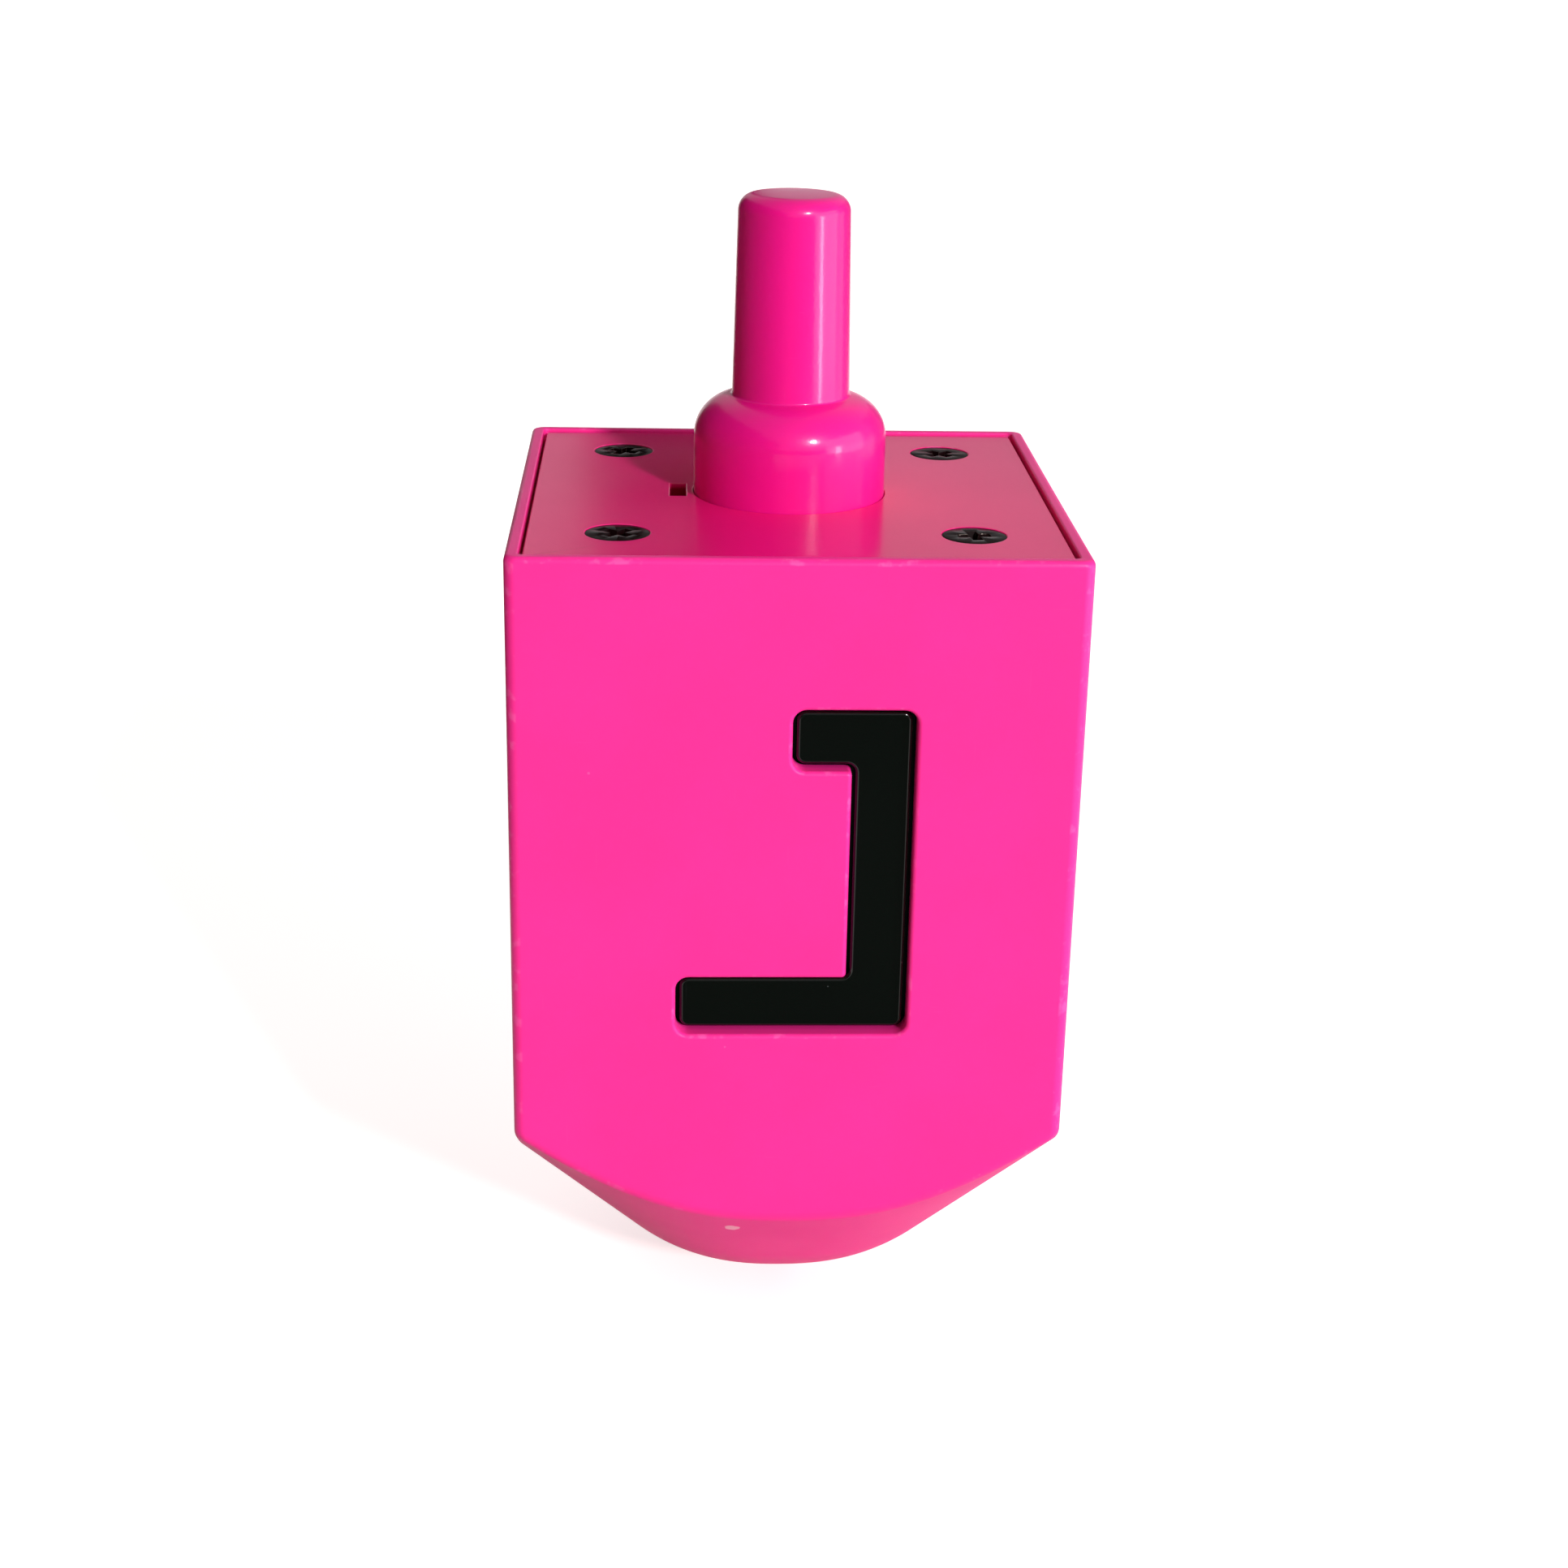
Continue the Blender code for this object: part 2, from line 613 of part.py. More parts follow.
def build():
    clear_scene()
    body_pink = make_material("body_pink", PINK, 0.35)
    lid_pink = make_material("lid_pink", PINK_LID, 0.42)
    stem_pink = make_material("stem_pink", PINK, 0.25)
    letter_black = make_material("letter_black", BLACK, 0.28)
    screw_black = make_material("screw_black", SCREW_BLACK, 0.38, 0.6)
    add_body(body_pink)
    add_lid(lid_pink)
    add_stem(stem_pink)
    for letter, outlines in letter_outlines().items():
        add_letter_plate(letter, outlines, letter_black)
    add_screws(screw_black)


build()
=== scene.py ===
# %% [markdown]
# # A pink four-sided spinning top
#
# This lesson dresses a spinning top that a CAD script has already built: a hollow plastic body with
# a cone below it, a lid held by four screws, a stem for the fingers, and a black letter set into
# each side. The CAD solids are exact in size but coarse. Here each piece is modelled again with
# fine, rounded edges, gets a plastic that looks moulded, and stands in a small photo studio.
#
# The first cell loads the CAD model as a frame of reference. Nothing in the frame moves: every new
# piece is placed from the frame's own corners, so it lies where the CAD piece lies.

import json
from math import atan, atan2, cos, degrees, pi, radians, sin, sqrt, tan

import bmesh
import bpy
from mathutils import Matrix, Vector

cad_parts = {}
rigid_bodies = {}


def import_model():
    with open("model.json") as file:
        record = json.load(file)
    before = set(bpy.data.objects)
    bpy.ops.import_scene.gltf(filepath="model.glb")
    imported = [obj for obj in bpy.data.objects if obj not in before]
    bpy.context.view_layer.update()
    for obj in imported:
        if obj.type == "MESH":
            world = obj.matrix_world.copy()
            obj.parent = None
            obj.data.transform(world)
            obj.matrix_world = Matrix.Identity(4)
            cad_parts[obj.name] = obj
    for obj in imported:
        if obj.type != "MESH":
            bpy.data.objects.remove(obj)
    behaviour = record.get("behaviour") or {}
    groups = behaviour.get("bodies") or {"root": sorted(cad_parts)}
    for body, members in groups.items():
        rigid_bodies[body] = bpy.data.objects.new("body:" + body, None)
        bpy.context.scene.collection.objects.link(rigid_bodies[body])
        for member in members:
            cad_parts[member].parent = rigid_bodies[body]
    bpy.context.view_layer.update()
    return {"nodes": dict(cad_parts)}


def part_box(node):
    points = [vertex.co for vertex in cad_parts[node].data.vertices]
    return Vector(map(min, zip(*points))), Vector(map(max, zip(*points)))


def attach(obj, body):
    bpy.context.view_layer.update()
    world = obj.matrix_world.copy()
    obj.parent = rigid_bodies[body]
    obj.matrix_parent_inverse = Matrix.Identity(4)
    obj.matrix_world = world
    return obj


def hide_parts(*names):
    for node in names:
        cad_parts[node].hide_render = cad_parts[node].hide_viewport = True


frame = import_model()
print("pieces in the frame:", ", ".join(sorted(frame["nodes"])))

# %% [markdown]
# ## Sizes that the frame gives
#
# A size that can be read from the frame is read, and not typed a second time. The top is symmetric
# round the Z axis, so one half width and a few heights say most of it. All lengths in Blender are
# metres here, so the body is 0.05 wide, and a tenth of a millimetre is 0.0001.

# %% Measure the frame
body_low, body_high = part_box("body_shell")
lid_low, lid_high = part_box("lid")
stem_low, stem_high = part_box("finger_stem")
HALF_WIDTH = (body_high.x - body_low.x) / 2
RIM_HEIGHT = body_high.z
LID_HALF = (lid_high.x - lid_low.x) / 2
LID_TOP = lid_high.z
LID_BOTTOM = lid_low.z
STEM_TOP = stem_high.z
SEAT_GAP = 0.0003
LEDGE_HEIGHT = LID_BOTTOM - SEAT_GAP
print(f"body {2000 * HALF_WIDTH:.1f} mm wide, rim at {1000 * RIM_HEIGHT:.1f} mm")

# %% [markdown]
# ## Helpers for outlines and meshes
#
# Nearly every piece of this toy is either turned on a lathe or drawn as an outline and given a
# depth. Both are the same thing to a mesh: a stack of rings with equally many points, joined by
# quads. `loft` makes that stack, and a ring with a single point closes it like the pole of a globe.
# `arc` gives the points of every rounded edge.

# %% Rings, arcs and lofts
def loft(name, rings):
    bm = bmesh.new()
    rows = [[bm.verts.new(point) for point in ring] for ring in rings]
    for lower, upper in zip(rows, rows[1:]):
        count = max(len(lower), len(upper))
        for i in range(count):
            j = (i + 1) % count
            if len(lower) == 1:
                bm.faces.new((lower[0], upper[j], upper[i]))
            elif len(upper) == 1:
                bm.faces.new((lower[i], lower[j], upper[0]))
            else:
                bm.faces.new((lower[i], lower[j], upper[j], upper[i]))
    for row in (rows[0], rows[-1]):
        if len(row) > 1:
            bm.faces.new(row)
    bmesh.ops.recalc_face_normals(bm, faces=bm.faces)
    mesh = bpy.data.meshes.new(name)
    bm.to_mesh(mesh)
    bm.free()
    return mesh


def arc(centre, radius, start, end, steps):
    angles = [radians(start + (end - start) * i / steps) for i in range(steps + 1)]
    return [(centre[0] + radius * cos(a), centre[1] + radius * sin(a)) for a in angles]


def turned(name, profile, steps, centre=(0.0, 0.0)):
    x, y = centre
    angles = [2 * pi * i / steps for i in range(steps)]
    rings = []
    for radius, height in profile:
        if radius == 0:
            rings.append([(x, y, height)])
        else:
            rings.append([(x + radius * cos(a), y + radius * sin(a), height) for a in angles])
    return loft(name, rings)


# %% Rectangles and blocks
def rectangle(half_x, half_y, middle=0.0):
    left, right = middle - half_x, middle + half_x
    return [(left, -half_y), (right, -half_y), (right, half_y), (left, half_y)]


def level_ring(corners, height):
    return [(x, y, height) for x, y in corners]


def block(name, corners, bottom, top):
    return loft(name, [level_ring(corners, bottom), level_ring(corners, top)])


# %% [markdown]
# ## Cutting one mesh with others
#
# The letter windows, the screw holes and the cross recesses are all cut with Boolean modifiers. The
# cutters are temporary: once the modifier has been worked out, the result is stored as a plain mesh
# and the cutters are thrown away, so the finished scene holds only pieces that the toy has.

# %% Boolean cuts that leave plain meshes
def new_object(name, data):
    obj = bpy.data.objects.new(name, data)
    bpy.context.scene.collection.objects.link(obj)
    return obj


def settle(obj):
    bpy.context.view_layer.update()
    evaluated = obj.evaluated_get(bpy.context.evaluated_depsgraph_get())
    mesh = bpy.data.meshes.new_from_object(evaluated)
    mesh.name = obj.name
    obj.modifiers.clear()
    obj.data = mesh
    return obj


def combine(obj, meshes, operation):
    group = bpy.data.collections.new(operation)
    bpy.context.scene.collection.children.link(group)
    for mesh in meshes:
        group.objects.link(bpy.data.objects.new(mesh.name, mesh))
    modifier = obj.modifiers.new(operation, "BOOLEAN")
    modifier.operation = operation
    modifier.operand_type = "COLLECTION"
    modifier.collection = group
    modifier.solver = "EXACT"
    settle(obj)
    for helper in list(group.objects):
        bpy.data.objects.remove(helper)
    bpy.data.collections.remove(group)


# %% [markdown]
# ## Smooth shading and a mark for worn edges
#
# Moulded plastic never has a razor edge: each edge here is a small arc of faces. Two things are
# then needed. The large flat faces must stay flat in the shading, which the Weighted Normal
# modifier sees to. And the materials want to know where the rounded edges are, because that is
# where a toy gets rubbed. A rounded edge is made of faces that are narrow strips, so a vertex whose
# faces are all narrow and meet at a bend is marked in an attribute named `edge`.
#
# Cutting curved windows can also leave slivers, faces without any area, which `drop_slivers` takes
# out. `present` gives a finished piece its material, hides the CAD piece it dresses and hangs it on
# the frame's root body.

# %% Soften, clean and mark a mesh
STRIP_WIDTH_LIMIT = 0.0003
SLIVER_WIDTH = 0.000001
EDGE_BEND = radians(6)
SHARP_BEND = radians(38)
FLAT_FACE_WEIGHT = 100


def soften(obj, width, segments):
    bevel = obj.modifiers.new("soft edges", "BEVEL")
    bevel.width = width
    bevel.segments = segments
    bevel.limit_method = "ANGLE"
    bevel.angle_limit = SHARP_BEND
    return settle(obj)


def drop_slivers(obj):
    bm = bmesh.new()
    bm.from_mesh(obj.data)
    bmesh.ops.dissolve_degenerate(bm, dist=SLIVER_WIDTH, edges=bm.edges[:])
    bm.to_mesh(obj.data)
    bm.free()
    return obj


def mark_edges(mesh, limit):
    bm = bmesh.new()
    bm.from_mesh(mesh)
    bm.normal_update()
    layer = bm.verts.layers.float.new("edge")
    wide = {face for face in bm.faces if 2 * face.calc_area() / face.calc_perimeter() > limit}
    for vert in bm.verts:
        if wide.isdisjoint(vert.link_faces):
            bends = [edge.calc_face_angle(0.0) for edge in vert.link_edges]
            vert[layer] = float(max(bends, default=0.0) > EDGE_BEND)
    bm.to_mesh(mesh)
    bm.free()


# %% Finish a mesh and present it
def finish_mesh(obj, strip_width=STRIP_WIDTH_LIMIT):
    mark_edges(obj.data, strip_width)
    obj.data.shade_smooth()
    obj.data.set_sharp_from_angle(angle=SHARP_BEND)
    modifier = obj.modifiers.new("flat faces stay flat", "WEIGHTED_NORMAL")
    modifier.keep_sharp = True
    modifier.weight = FLAT_FACE_WEIGHT
    settle(obj)
    print(f"{obj.name}: {len(obj.data.polygons)} faces")


def present(obj, material, slot, *nodes):
    obj.data.materials.clear()
    obj.data.materials.append(material)
    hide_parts(*nodes)
    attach(obj, "root")


# %% [markdown]
# ## Shared surface effects
#
# Four effects appear in more than one material, so each is a node group that is built once: the
# fine grain and slow ripple of moulded plastic, the wear of rounded edges, specks of dust, and
# hair-fine scratches. A group only puts out numbers between 0 and 1. What a number does, such as
# making the colour paler or the gloss duller, is decided in each material, where the shader is.
#
# The helpers come first. `node` makes a node and fills its sockets, each with a plain value or with
# a link, and the others are short names for the nodes that are used most.

# %% Helpers for nodes
def node(tree, kind, links=(), **settings):
    made = tree.nodes.new(kind)
    for key, value in settings.items():
        setattr(made, key, value)
    for socket, source in links:
        if isinstance(source, bpy.types.NodeSocket):
            tree.links.new(source, made.inputs[socket])
        else:
            made.inputs[socket].default_value = source
    return made


def maths(tree, operation, first, second=0.0, third=0.0):
    links = ((0, first), (1, second), (2, third))
    return node(tree, "ShaderNodeMath", links, operation=operation).outputs[0]


def vector_maths(tree, operation, first, second=(0.0, 0.0, 0.0), output=0):
    links = ((0, first), (1, second))
    return node(tree, "ShaderNodeVectorMath", links, operation=operation).outputs[output]


def ramp(tree, value, low, high, to_low=0.0, to_high=1.0):
    ends = (("From Min", low), ("From Max", high), ("To Min", to_low), ("To Max", to_high))
    links = (("Value", value), *ends)
    made = node(tree, "ShaderNodeMapRange", links, interpolation_type="SMOOTHSTEP")
    return made.outputs["Result"]


def blend(tree, share, first, second):
    """Mix two colours; each is three numbers or a node's output."""
    links = [("Factor", share)]
    for socket, colour in (("A", first), ("B", second)):
        is_output = isinstance(colour, bpy.types.NodeSocket)
        links.append((socket, colour if is_output else (*colour, 1.0)))
    return node(tree, "ShaderNodeMix", links, data_type="RGBA").outputs["Result"]


# %% Helpers for patterns and groups
def own_place(tree):
    """The shaded point's place in the piece's own metres."""
    return node(tree, "ShaderNodeTexCoord").outputs["Object"]


def noise(tree, size, detail, stretch=(1.0, 1.0, 1.0), seed=0.0):
    """Noise whose grains are about one size across, in the piece's own metres."""
    moved = vector_maths(tree, "ADD", own_place(tree), (seed, seed, seed))
    shaped = vector_maths(tree, "MULTIPLY", moved, stretch)
    scale = maths(tree, "DIVIDE", 1.0, size)
    links = (("Vector", shaped), ("Scale", scale), ("Detail", detail))
    return node(tree, "ShaderNodeTexNoise", links).outputs["Fac"]


def start_group(name, inputs, outputs):
    group = bpy.data.node_groups.new(name, "ShaderNodeTree")
    for label, value in inputs:
        socket = group.interface.new_socket(label, in_out="INPUT", socket_type="NodeSocketFloat")
        socket.default_value = value
    for label in outputs:
        group.interface.new_socket(label, in_out="OUTPUT", socket_type="NodeSocketFloat")
    into, out = group.nodes.new("NodeGroupInput"), group.nodes.new("NodeGroupOutput")
    print("group started:", name)
    return group, into.outputs, out.inputs


# %% [markdown]
# ### Grain and ripple
#
# A steel mould is polished or finely textured, and the plastic copies it: there is a grain of about
# a third of a millimetre. As the plastic cools it also shrinks unevenly, which leaves a slow ripple
# of several millimetres. The grain breaks up small highlights, and the ripple bends long ones. A
# third, larger noise is a mottle for the colour.

# %% Group: moulded grain
GRAIN_SHARE = 0.5
MOTTLE_SIZE = 0.014
MOTTLE_RANGE = (0.3, 0.7)

grain_group, into, out = start_group(
    "moulded_grain", (("Grain", 0.0003), ("Ripple", 0.004)), ("Height", "Mottle")
)
grain = noise(grain_group, into["Grain"], 2.0)
ripple = noise(grain_group, into["Ripple"], 1.0, seed=0.3)
fine = maths(grain_group, "MULTIPLY", grain, GRAIN_SHARE)
height = maths(grain_group, "MULTIPLY_ADD", ripple, 1 - GRAIN_SHARE, fine)
grain_group.links.new(height, out["Height"])
mottle = ramp(grain_group, noise(grain_group, MOTTLE_SIZE, 3.0, seed=0.7), *MOTTLE_RANGE)
grain_group.links.new(mottle, out["Mottle"])

# %% [markdown]
# ### Worn edges
#
# The attribute `edge` is 1 along the middle of each rounded edge. Multiplied by noise it becomes
# patchy, as real rubbing is: a few stretches are worn, and others still look new. The bare
# attribute is put out as well, for a material that wants a glossier edge.

# %% Group: edge wear
WEAR_START = 0.85
WEAR_REACH = 0.6
WEAR_FADE = 0.15

wear_group, into, out = start_group(
    "edge_wear", (("Patch", 0.0012), ("Amount", 0.5)), ("Mask", "Edge")
)
edge = node(wear_group, "ShaderNodeAttribute", attribute_name="edge").outputs["Fac"]
wear_group.links.new(edge, out["Edge"])
patches = noise(wear_group, into["Patch"], 4.0, seed=0.1)
reach = maths(wear_group, "MULTIPLY", into["Amount"], WEAR_REACH)
start = maths(wear_group, "SUBTRACT", WEAR_START, reach)
worn = ramp(wear_group, patches, start, maths(wear_group, "ADD", start, WEAR_FADE))
wear_group.links.new(maths(wear_group, "MULTIPLY", worn, edge), out["Mask"])

# %% [markdown]
# ### Dust and moulding specks
#
# A Voronoi texture divides space into cells with one point each. Where the distance to that point
# is tiny there is a speck, and the cell's random colour decides whether this cell has one at all.

# %% Group: dust specks
dust_group, into, out = start_group(
    "dust_specks", (("Spacing", 0.003), ("Size", 0.05), ("Share", 0.1)), ("Mask",)
)
scale = maths(dust_group, "DIVIDE", 1.0, into["Spacing"])
links = (("Vector", own_place(dust_group)), ("Scale", scale))
cells = node(dust_group, "ShaderNodeTexVoronoi", links).outputs
near = maths(dust_group, "LESS_THAN", cells["Distance"], into["Size"])
chance = node(dust_group, "ShaderNodeSeparateColor", (("Color", cells["Color"]),)).outputs[0]
chosen = maths(dust_group, "LESS_THAN", chance, into["Share"])
dust_group.links.new(maths(dust_group, "MULTIPLY", near, chosen), out["Mask"])

# %% [markdown]
# ### Hair-fine scratches
#
# Noise that is stretched more than twentyfold along one direction turns into streaks. Only its
# highest crests are kept, so the streaks are thin and rare. Two directions are joined, because a
# toy is put down every which way.

# %% Group: fine scratches
SCRATCHES = (
    # stretch, seed, lowest and full crest
    ((1.0, 1.0, 0.04), 0.2, 0.72, 0.80),
    ((0.05, 1.0, 1.0), 0.9, 0.73, 0.81),
)

scratch_group, into, out = start_group(
    "fine_scratches", (("Width", 0.00025), ("Amount", 0.2)), ("Mask",)
)
streaks = [
    ramp(scratch_group, noise(scratch_group, into["Width"], 1.0, stretch, seed), low, full)
    for stretch, seed, low, full in SCRATCHES
]
crests = maths(scratch_group, "MAXIMUM", *streaks)
scratch_group.links.new(maths(scratch_group, "MULTIPLY", crests, into["Amount"]), out["Mask"])

# %% [markdown]
# ## The plastics
#
# All pink pieces are the same kind of plastic, moulded in different tools. The body is satin. The
# lid came from a smoother mould and mirrors the room when it is seen at a low angle. The stem is
# satin too, with a thin gloss on it from many fingers. The letters are black and nearly without a
# sheen, apart from their rounded edges, which catch the light.
#
# Real wear makes this plastic a little paler and a little duller, so the masks of the groups are
# joined into one mask of marks, which mixes towards a paler colour and raises the roughness.
# On the letters that paler colour is partly wear and partly a painted highlight along the edges.

# %% Marks on plastic
WEAR_SHOWS = 0.35
SPECKS_SHOW = 0.4
SCRATCHES_SHOW = 0.2


def all_marks(tree, wear_mask):
    specks = node(tree, "ShaderNodeGroup", node_tree=dust_group).outputs["Mask"]
    scratches = node(tree, "ShaderNodeGroup", node_tree=scratch_group).outputs["Mask"]
    marks = maths(tree, "MULTIPLY", wear_mask, WEAR_SHOWS)
    for mask, share in ((specks, SPECKS_SHOW), (scratches, SCRATCHES_SHOW)):
        marks = maths(tree, "MAXIMUM", marks, maths(tree, "MULTIPLY", mask, share))
    return marks


# %% [markdown]
# Two more effects belong to one piece each. The cone has one painted highlight, a pale glint
# painted as
# a spot: a distance from its centre with noise added, so that its outline is ragged. And where the
# lid's holes and gaps go down, the colour is painted darker: painted shade with some dirt, which
# only needs the height of the point.

# %% A ragged painted glint, and painted shade in the lid's hollows
# The first colour is a painted highlight, the pale glint on the cone; the second is painted shade,
# with some dirt, in the lid's holes and gaps.
GLINT_PINK = (0.99, 0.42, 0.55)
DIRT_AND_SHADE_PINK = (0.34, 0.001, 0.03)
HOLLOW_DEPTH = 0.0005
SPOT_GRAIN = 0.0007
SPOT_RAGGEDNESS = 0.8
SPOT_EDGE = (1.2, 1.4)


def spot(tree, centre, size):
    apart = vector_maths(tree, "SUBTRACT", own_place(tree), centre)
    shaped = vector_maths(tree, "DIVIDE", apart, size)
    away = vector_maths(tree, "LENGTH", shaped, output="Value")
    ragged = maths(tree, "MULTIPLY_ADD", noise(tree, SPOT_GRAIN, 2.0), SPOT_RAGGEDNESS, away)
    return ramp(tree, ragged, *SPOT_EDGE, 1.0, 0.0)


# Painted shade: below the lid's top the colour turns darker, standing for the shade down in its
# holes and gaps, with some dirt.
def dirt_and_shade_hollows(tree, top):
    level = node(tree, "ShaderNodeSeparateXYZ", ((0, own_place(tree)),)).outputs["Z"]
    return ramp(tree, level, top - HOLLOW_DEPTH, top, 1.0, 0.0)


# %% [markdown]
# One function makes all the plastics, from the numbers that differ. Light enters this plastic and
# comes out again close by, its red part most of all: that is the subsurface bleed. The light that
# the plastic mirrors is slightly tinted, which keeps the pink deep in the shade.

# %% A function for moulded plastic
BLEED_DEPTH = 0.0008
BLEED_COLOUR = (1.0, 0.2, 0.35)
GLOSS_ROUGHNESS = 0.15
MOTTLE_DARKENS = 0.94
MOTTLE_DULLS = 0.05
MARKS_DULL = 0.2


def plastic(
    name, colour, pale, roughness, grain_depth, grain=0.0003, ripple=0.004, wear=0.5,
    tint=(1.0, 1.0, 1.0), ior=1.45, mirror=0.5, bleed=0.15, coat=0.0, edge_coat=0.0,
    painted_glint=None, dirt_and_shade_below=None,
):
    material = bpy.data.materials.new(name)
    material.use_nodes = True
    tree = material.node_tree
    sockets = tree.nodes["Principled BSDF"].inputs
    sockets["Specular Tint"].default_value = (*tint, 1.0)
    sockets["Specular IOR Level"].default_value = mirror
    sockets["IOR"].default_value = ior
    sockets["Coat Weight"].default_value = coat
    sockets["Coat Roughness"].default_value = GLOSS_ROUGHNESS
    sockets["Subsurface Weight"].default_value = bleed
    sockets["Subsurface Radius"].default_value = BLEED_COLOUR
    sockets["Subsurface Scale"].default_value = BLEED_DEPTH

    links = (("Grain", grain), ("Ripple", ripple))
    moulded = node(tree, "ShaderNodeGroup", links, node_tree=grain_group).outputs
    rubbed = node(tree, "ShaderNodeGroup", (("Amount", wear),), node_tree=wear_group).outputs
    marks = all_marks(tree, rubbed["Mask"])

    deeper = [channel * MOTTLE_DARKENS for channel in colour]
    paint = blend(tree, marks, blend(tree, moulded["Mottle"], colour, deeper), pale)
    if painted_glint:
        # Painted highlight: a pale glint on the cone, painted as a ragged spot.
        paint = blend(tree, spot(tree, *painted_glint), paint, GLINT_PINK)
    # Painted shade, with some dirt, down in the lid's holes and gaps.
    if dirt_and_shade_below:
        paint = blend(tree, dirt_and_shade_hollows(tree, dirt_and_shade_below), paint, DIRT_AND_SHADE_PINK)
    tree.links.new(paint, sockets["Base Color"])
    if edge_coat:
        gloss = maths(tree, "MULTIPLY", rubbed["Edge"], edge_coat)
        tree.links.new(gloss, sockets["Coat Weight"])

    dull = maths(tree, "MULTIPLY_ADD", moulded["Mottle"], MOTTLE_DULLS, roughness)
    tree.links.new(maths(tree, "MULTIPLY_ADD", marks, MARKS_DULL, dull), sockets["Roughness"])
    bump = node(tree, "ShaderNodeBump", (("Height", moulded["Height"]), ("Distance", grain_depth)))
    tree.links.new(bump.outputs["Normal"], sockets["Normal"])
    tree.links.new(bump.outputs["Normal"], sockets["Coat Normal"])
    print(f"material {name}: roughness {roughness}, grain {1e6 * grain_depth:.0f} micrometres deep")
    return material


# %% Pink for the body, the lid and the stem, and black for the letters
BODY_PINK = (0.95, 0.027, 0.29)
LID_PINK = (0.92, 0.007, 0.20)
STEM_PINK = (0.82, 0.004, 0.24)
RUBBED_PINK = (0.98, 0.16, 0.48)
# The letters' pale colour is partly wear and partly a painted highlight along their rounded edges.
LETTER_BLACK = (0.0015, 0.003, 0.002)
RUBBED_AND_SHEEN_BLACK = (0.10, 0.11, 0.11)
SOFT_TINT = (1.0, 0.55, 0.8)
# Where the painted glint sits on the cone, and its size.
GLINT_CENTRE = (-0.0050, -0.0227, 0.0158)
GLINT_SIZE = (0.0008, 0.0014, 0.0006)
LID_LIP = 0.00015

body_pink = plastic(
    "body_pink", BODY_PINK, RUBBED_PINK, roughness=0.36, grain_depth=0.000010,
    tint=SOFT_TINT, ior=1.42, painted_glint=(GLINT_CENTRE, GLINT_SIZE),
)
# The lid gets painted shade, with some dirt, in its holes and gaps.
lid_pink = plastic(
    "lid_pink", LID_PINK, RUBBED_PINK, roughness=0.16, grain_depth=0.000006, grain=0.0002,
    bleed=0.03, dirt_and_shade_below=LID_TOP - LID_LIP,
)
stem_pink = plastic(
    "stem_pink", STEM_PINK, RUBBED_PINK, roughness=0.34, grain_depth=0.000014, ripple=0.0012,
    wear=0.2, tint=SOFT_TINT, ior=1.30, coat=0.5,
)
# Pale edge patches on the letters: partly wear, partly painted highlight.
letter_black = plastic(
    "letter_black", LETTER_BLACK, RUBBED_AND_SHEEN_BLACK, roughness=0.20, grain_depth=0.000008,
    wear=0.2, mirror=0.03, edge_coat=0.9,
)

# %% [markdown]
# ## Black oxide on the screws
#
# The screws are steel, blackened in a hot bath. The coat is thin: it stays black in the hollows and
# rubs through to grey on the edges of the head and of the cross. It is built like the plastic, with
# metallic added where it is worn.

# %% Material for the screws
OXIDE_BLACK = (0.008, 0.002, 0.0025)
OXIDE_MIRROR = 0.02
OXIDE_ROUGHNESS = 0.14
OXIDE_MOTTLE = 0.10
OXIDE_GRAIN = 0.00012
OXIDE_GRAIN_DEPTH = 0.000003
BARE_STEEL = (0.22, 0.19, 0.16)
STEEL_SHOWS = 0.8
STEEL_PATCH = 0.0004
STEEL_AMOUNT = 0.8

screw_black = bpy.data.materials.new("screw_black")
screw_black.use_nodes = True
tree = screw_black.node_tree
sockets = tree.nodes["Principled BSDF"].inputs
sockets["Specular IOR Level"].default_value = OXIDE_MIRROR
links = (("Patch", STEEL_PATCH), ("Amount", STEEL_AMOUNT))
bare = node(tree, "ShaderNodeGroup", links, node_tree=wear_group).outputs["Mask"]
oxide = node(tree, "ShaderNodeGroup", (("Grain", OXIDE_GRAIN),), node_tree=grain_group).outputs
tree.links.new(blend(tree, bare, OXIDE_BLACK, BARE_STEEL), sockets["Base Color"])
tree.links.new(maths(tree, "MULTIPLY", bare, STEEL_SHOWS), sockets["Metallic"])
dull = maths(tree, "MULTIPLY_ADD", oxide["Mottle"], OXIDE_MOTTLE, OXIDE_ROUGHNESS)
tree.links.new(dull, sockets["Roughness"])
bump = node(tree, "ShaderNodeBump", (("Height", oxide["Height"]), ("Distance", OXIDE_GRAIN_DEPTH)))
tree.links.new(bump.outputs["Normal"], sockets["Normal"])
print("material screw_black made")

# %% [markdown]
# ## The body shell
#
# The body is one hollow moulding. Seen from above it is a square with slightly rounded corners;
# from below it is a cone that cuts into the square, so that each face ends in a curved edge. It
# could be carved with Booleans, but there is a neater way: walk once round the axis, and in each
# direction draw the wall's whole section, up the inside, over the rim, down the outside, round the
# lower edge and along the cone to the tip. Every section has equally many points, so they join into
# one closed mesh, and the curved edges appear by themselves.
#
# The cone isn't quite round: cut across, it is a superellipse. That is a circle whose power of 2
# has been raised, and with a power of 2.4 it swells a little towards the four corners of the body.

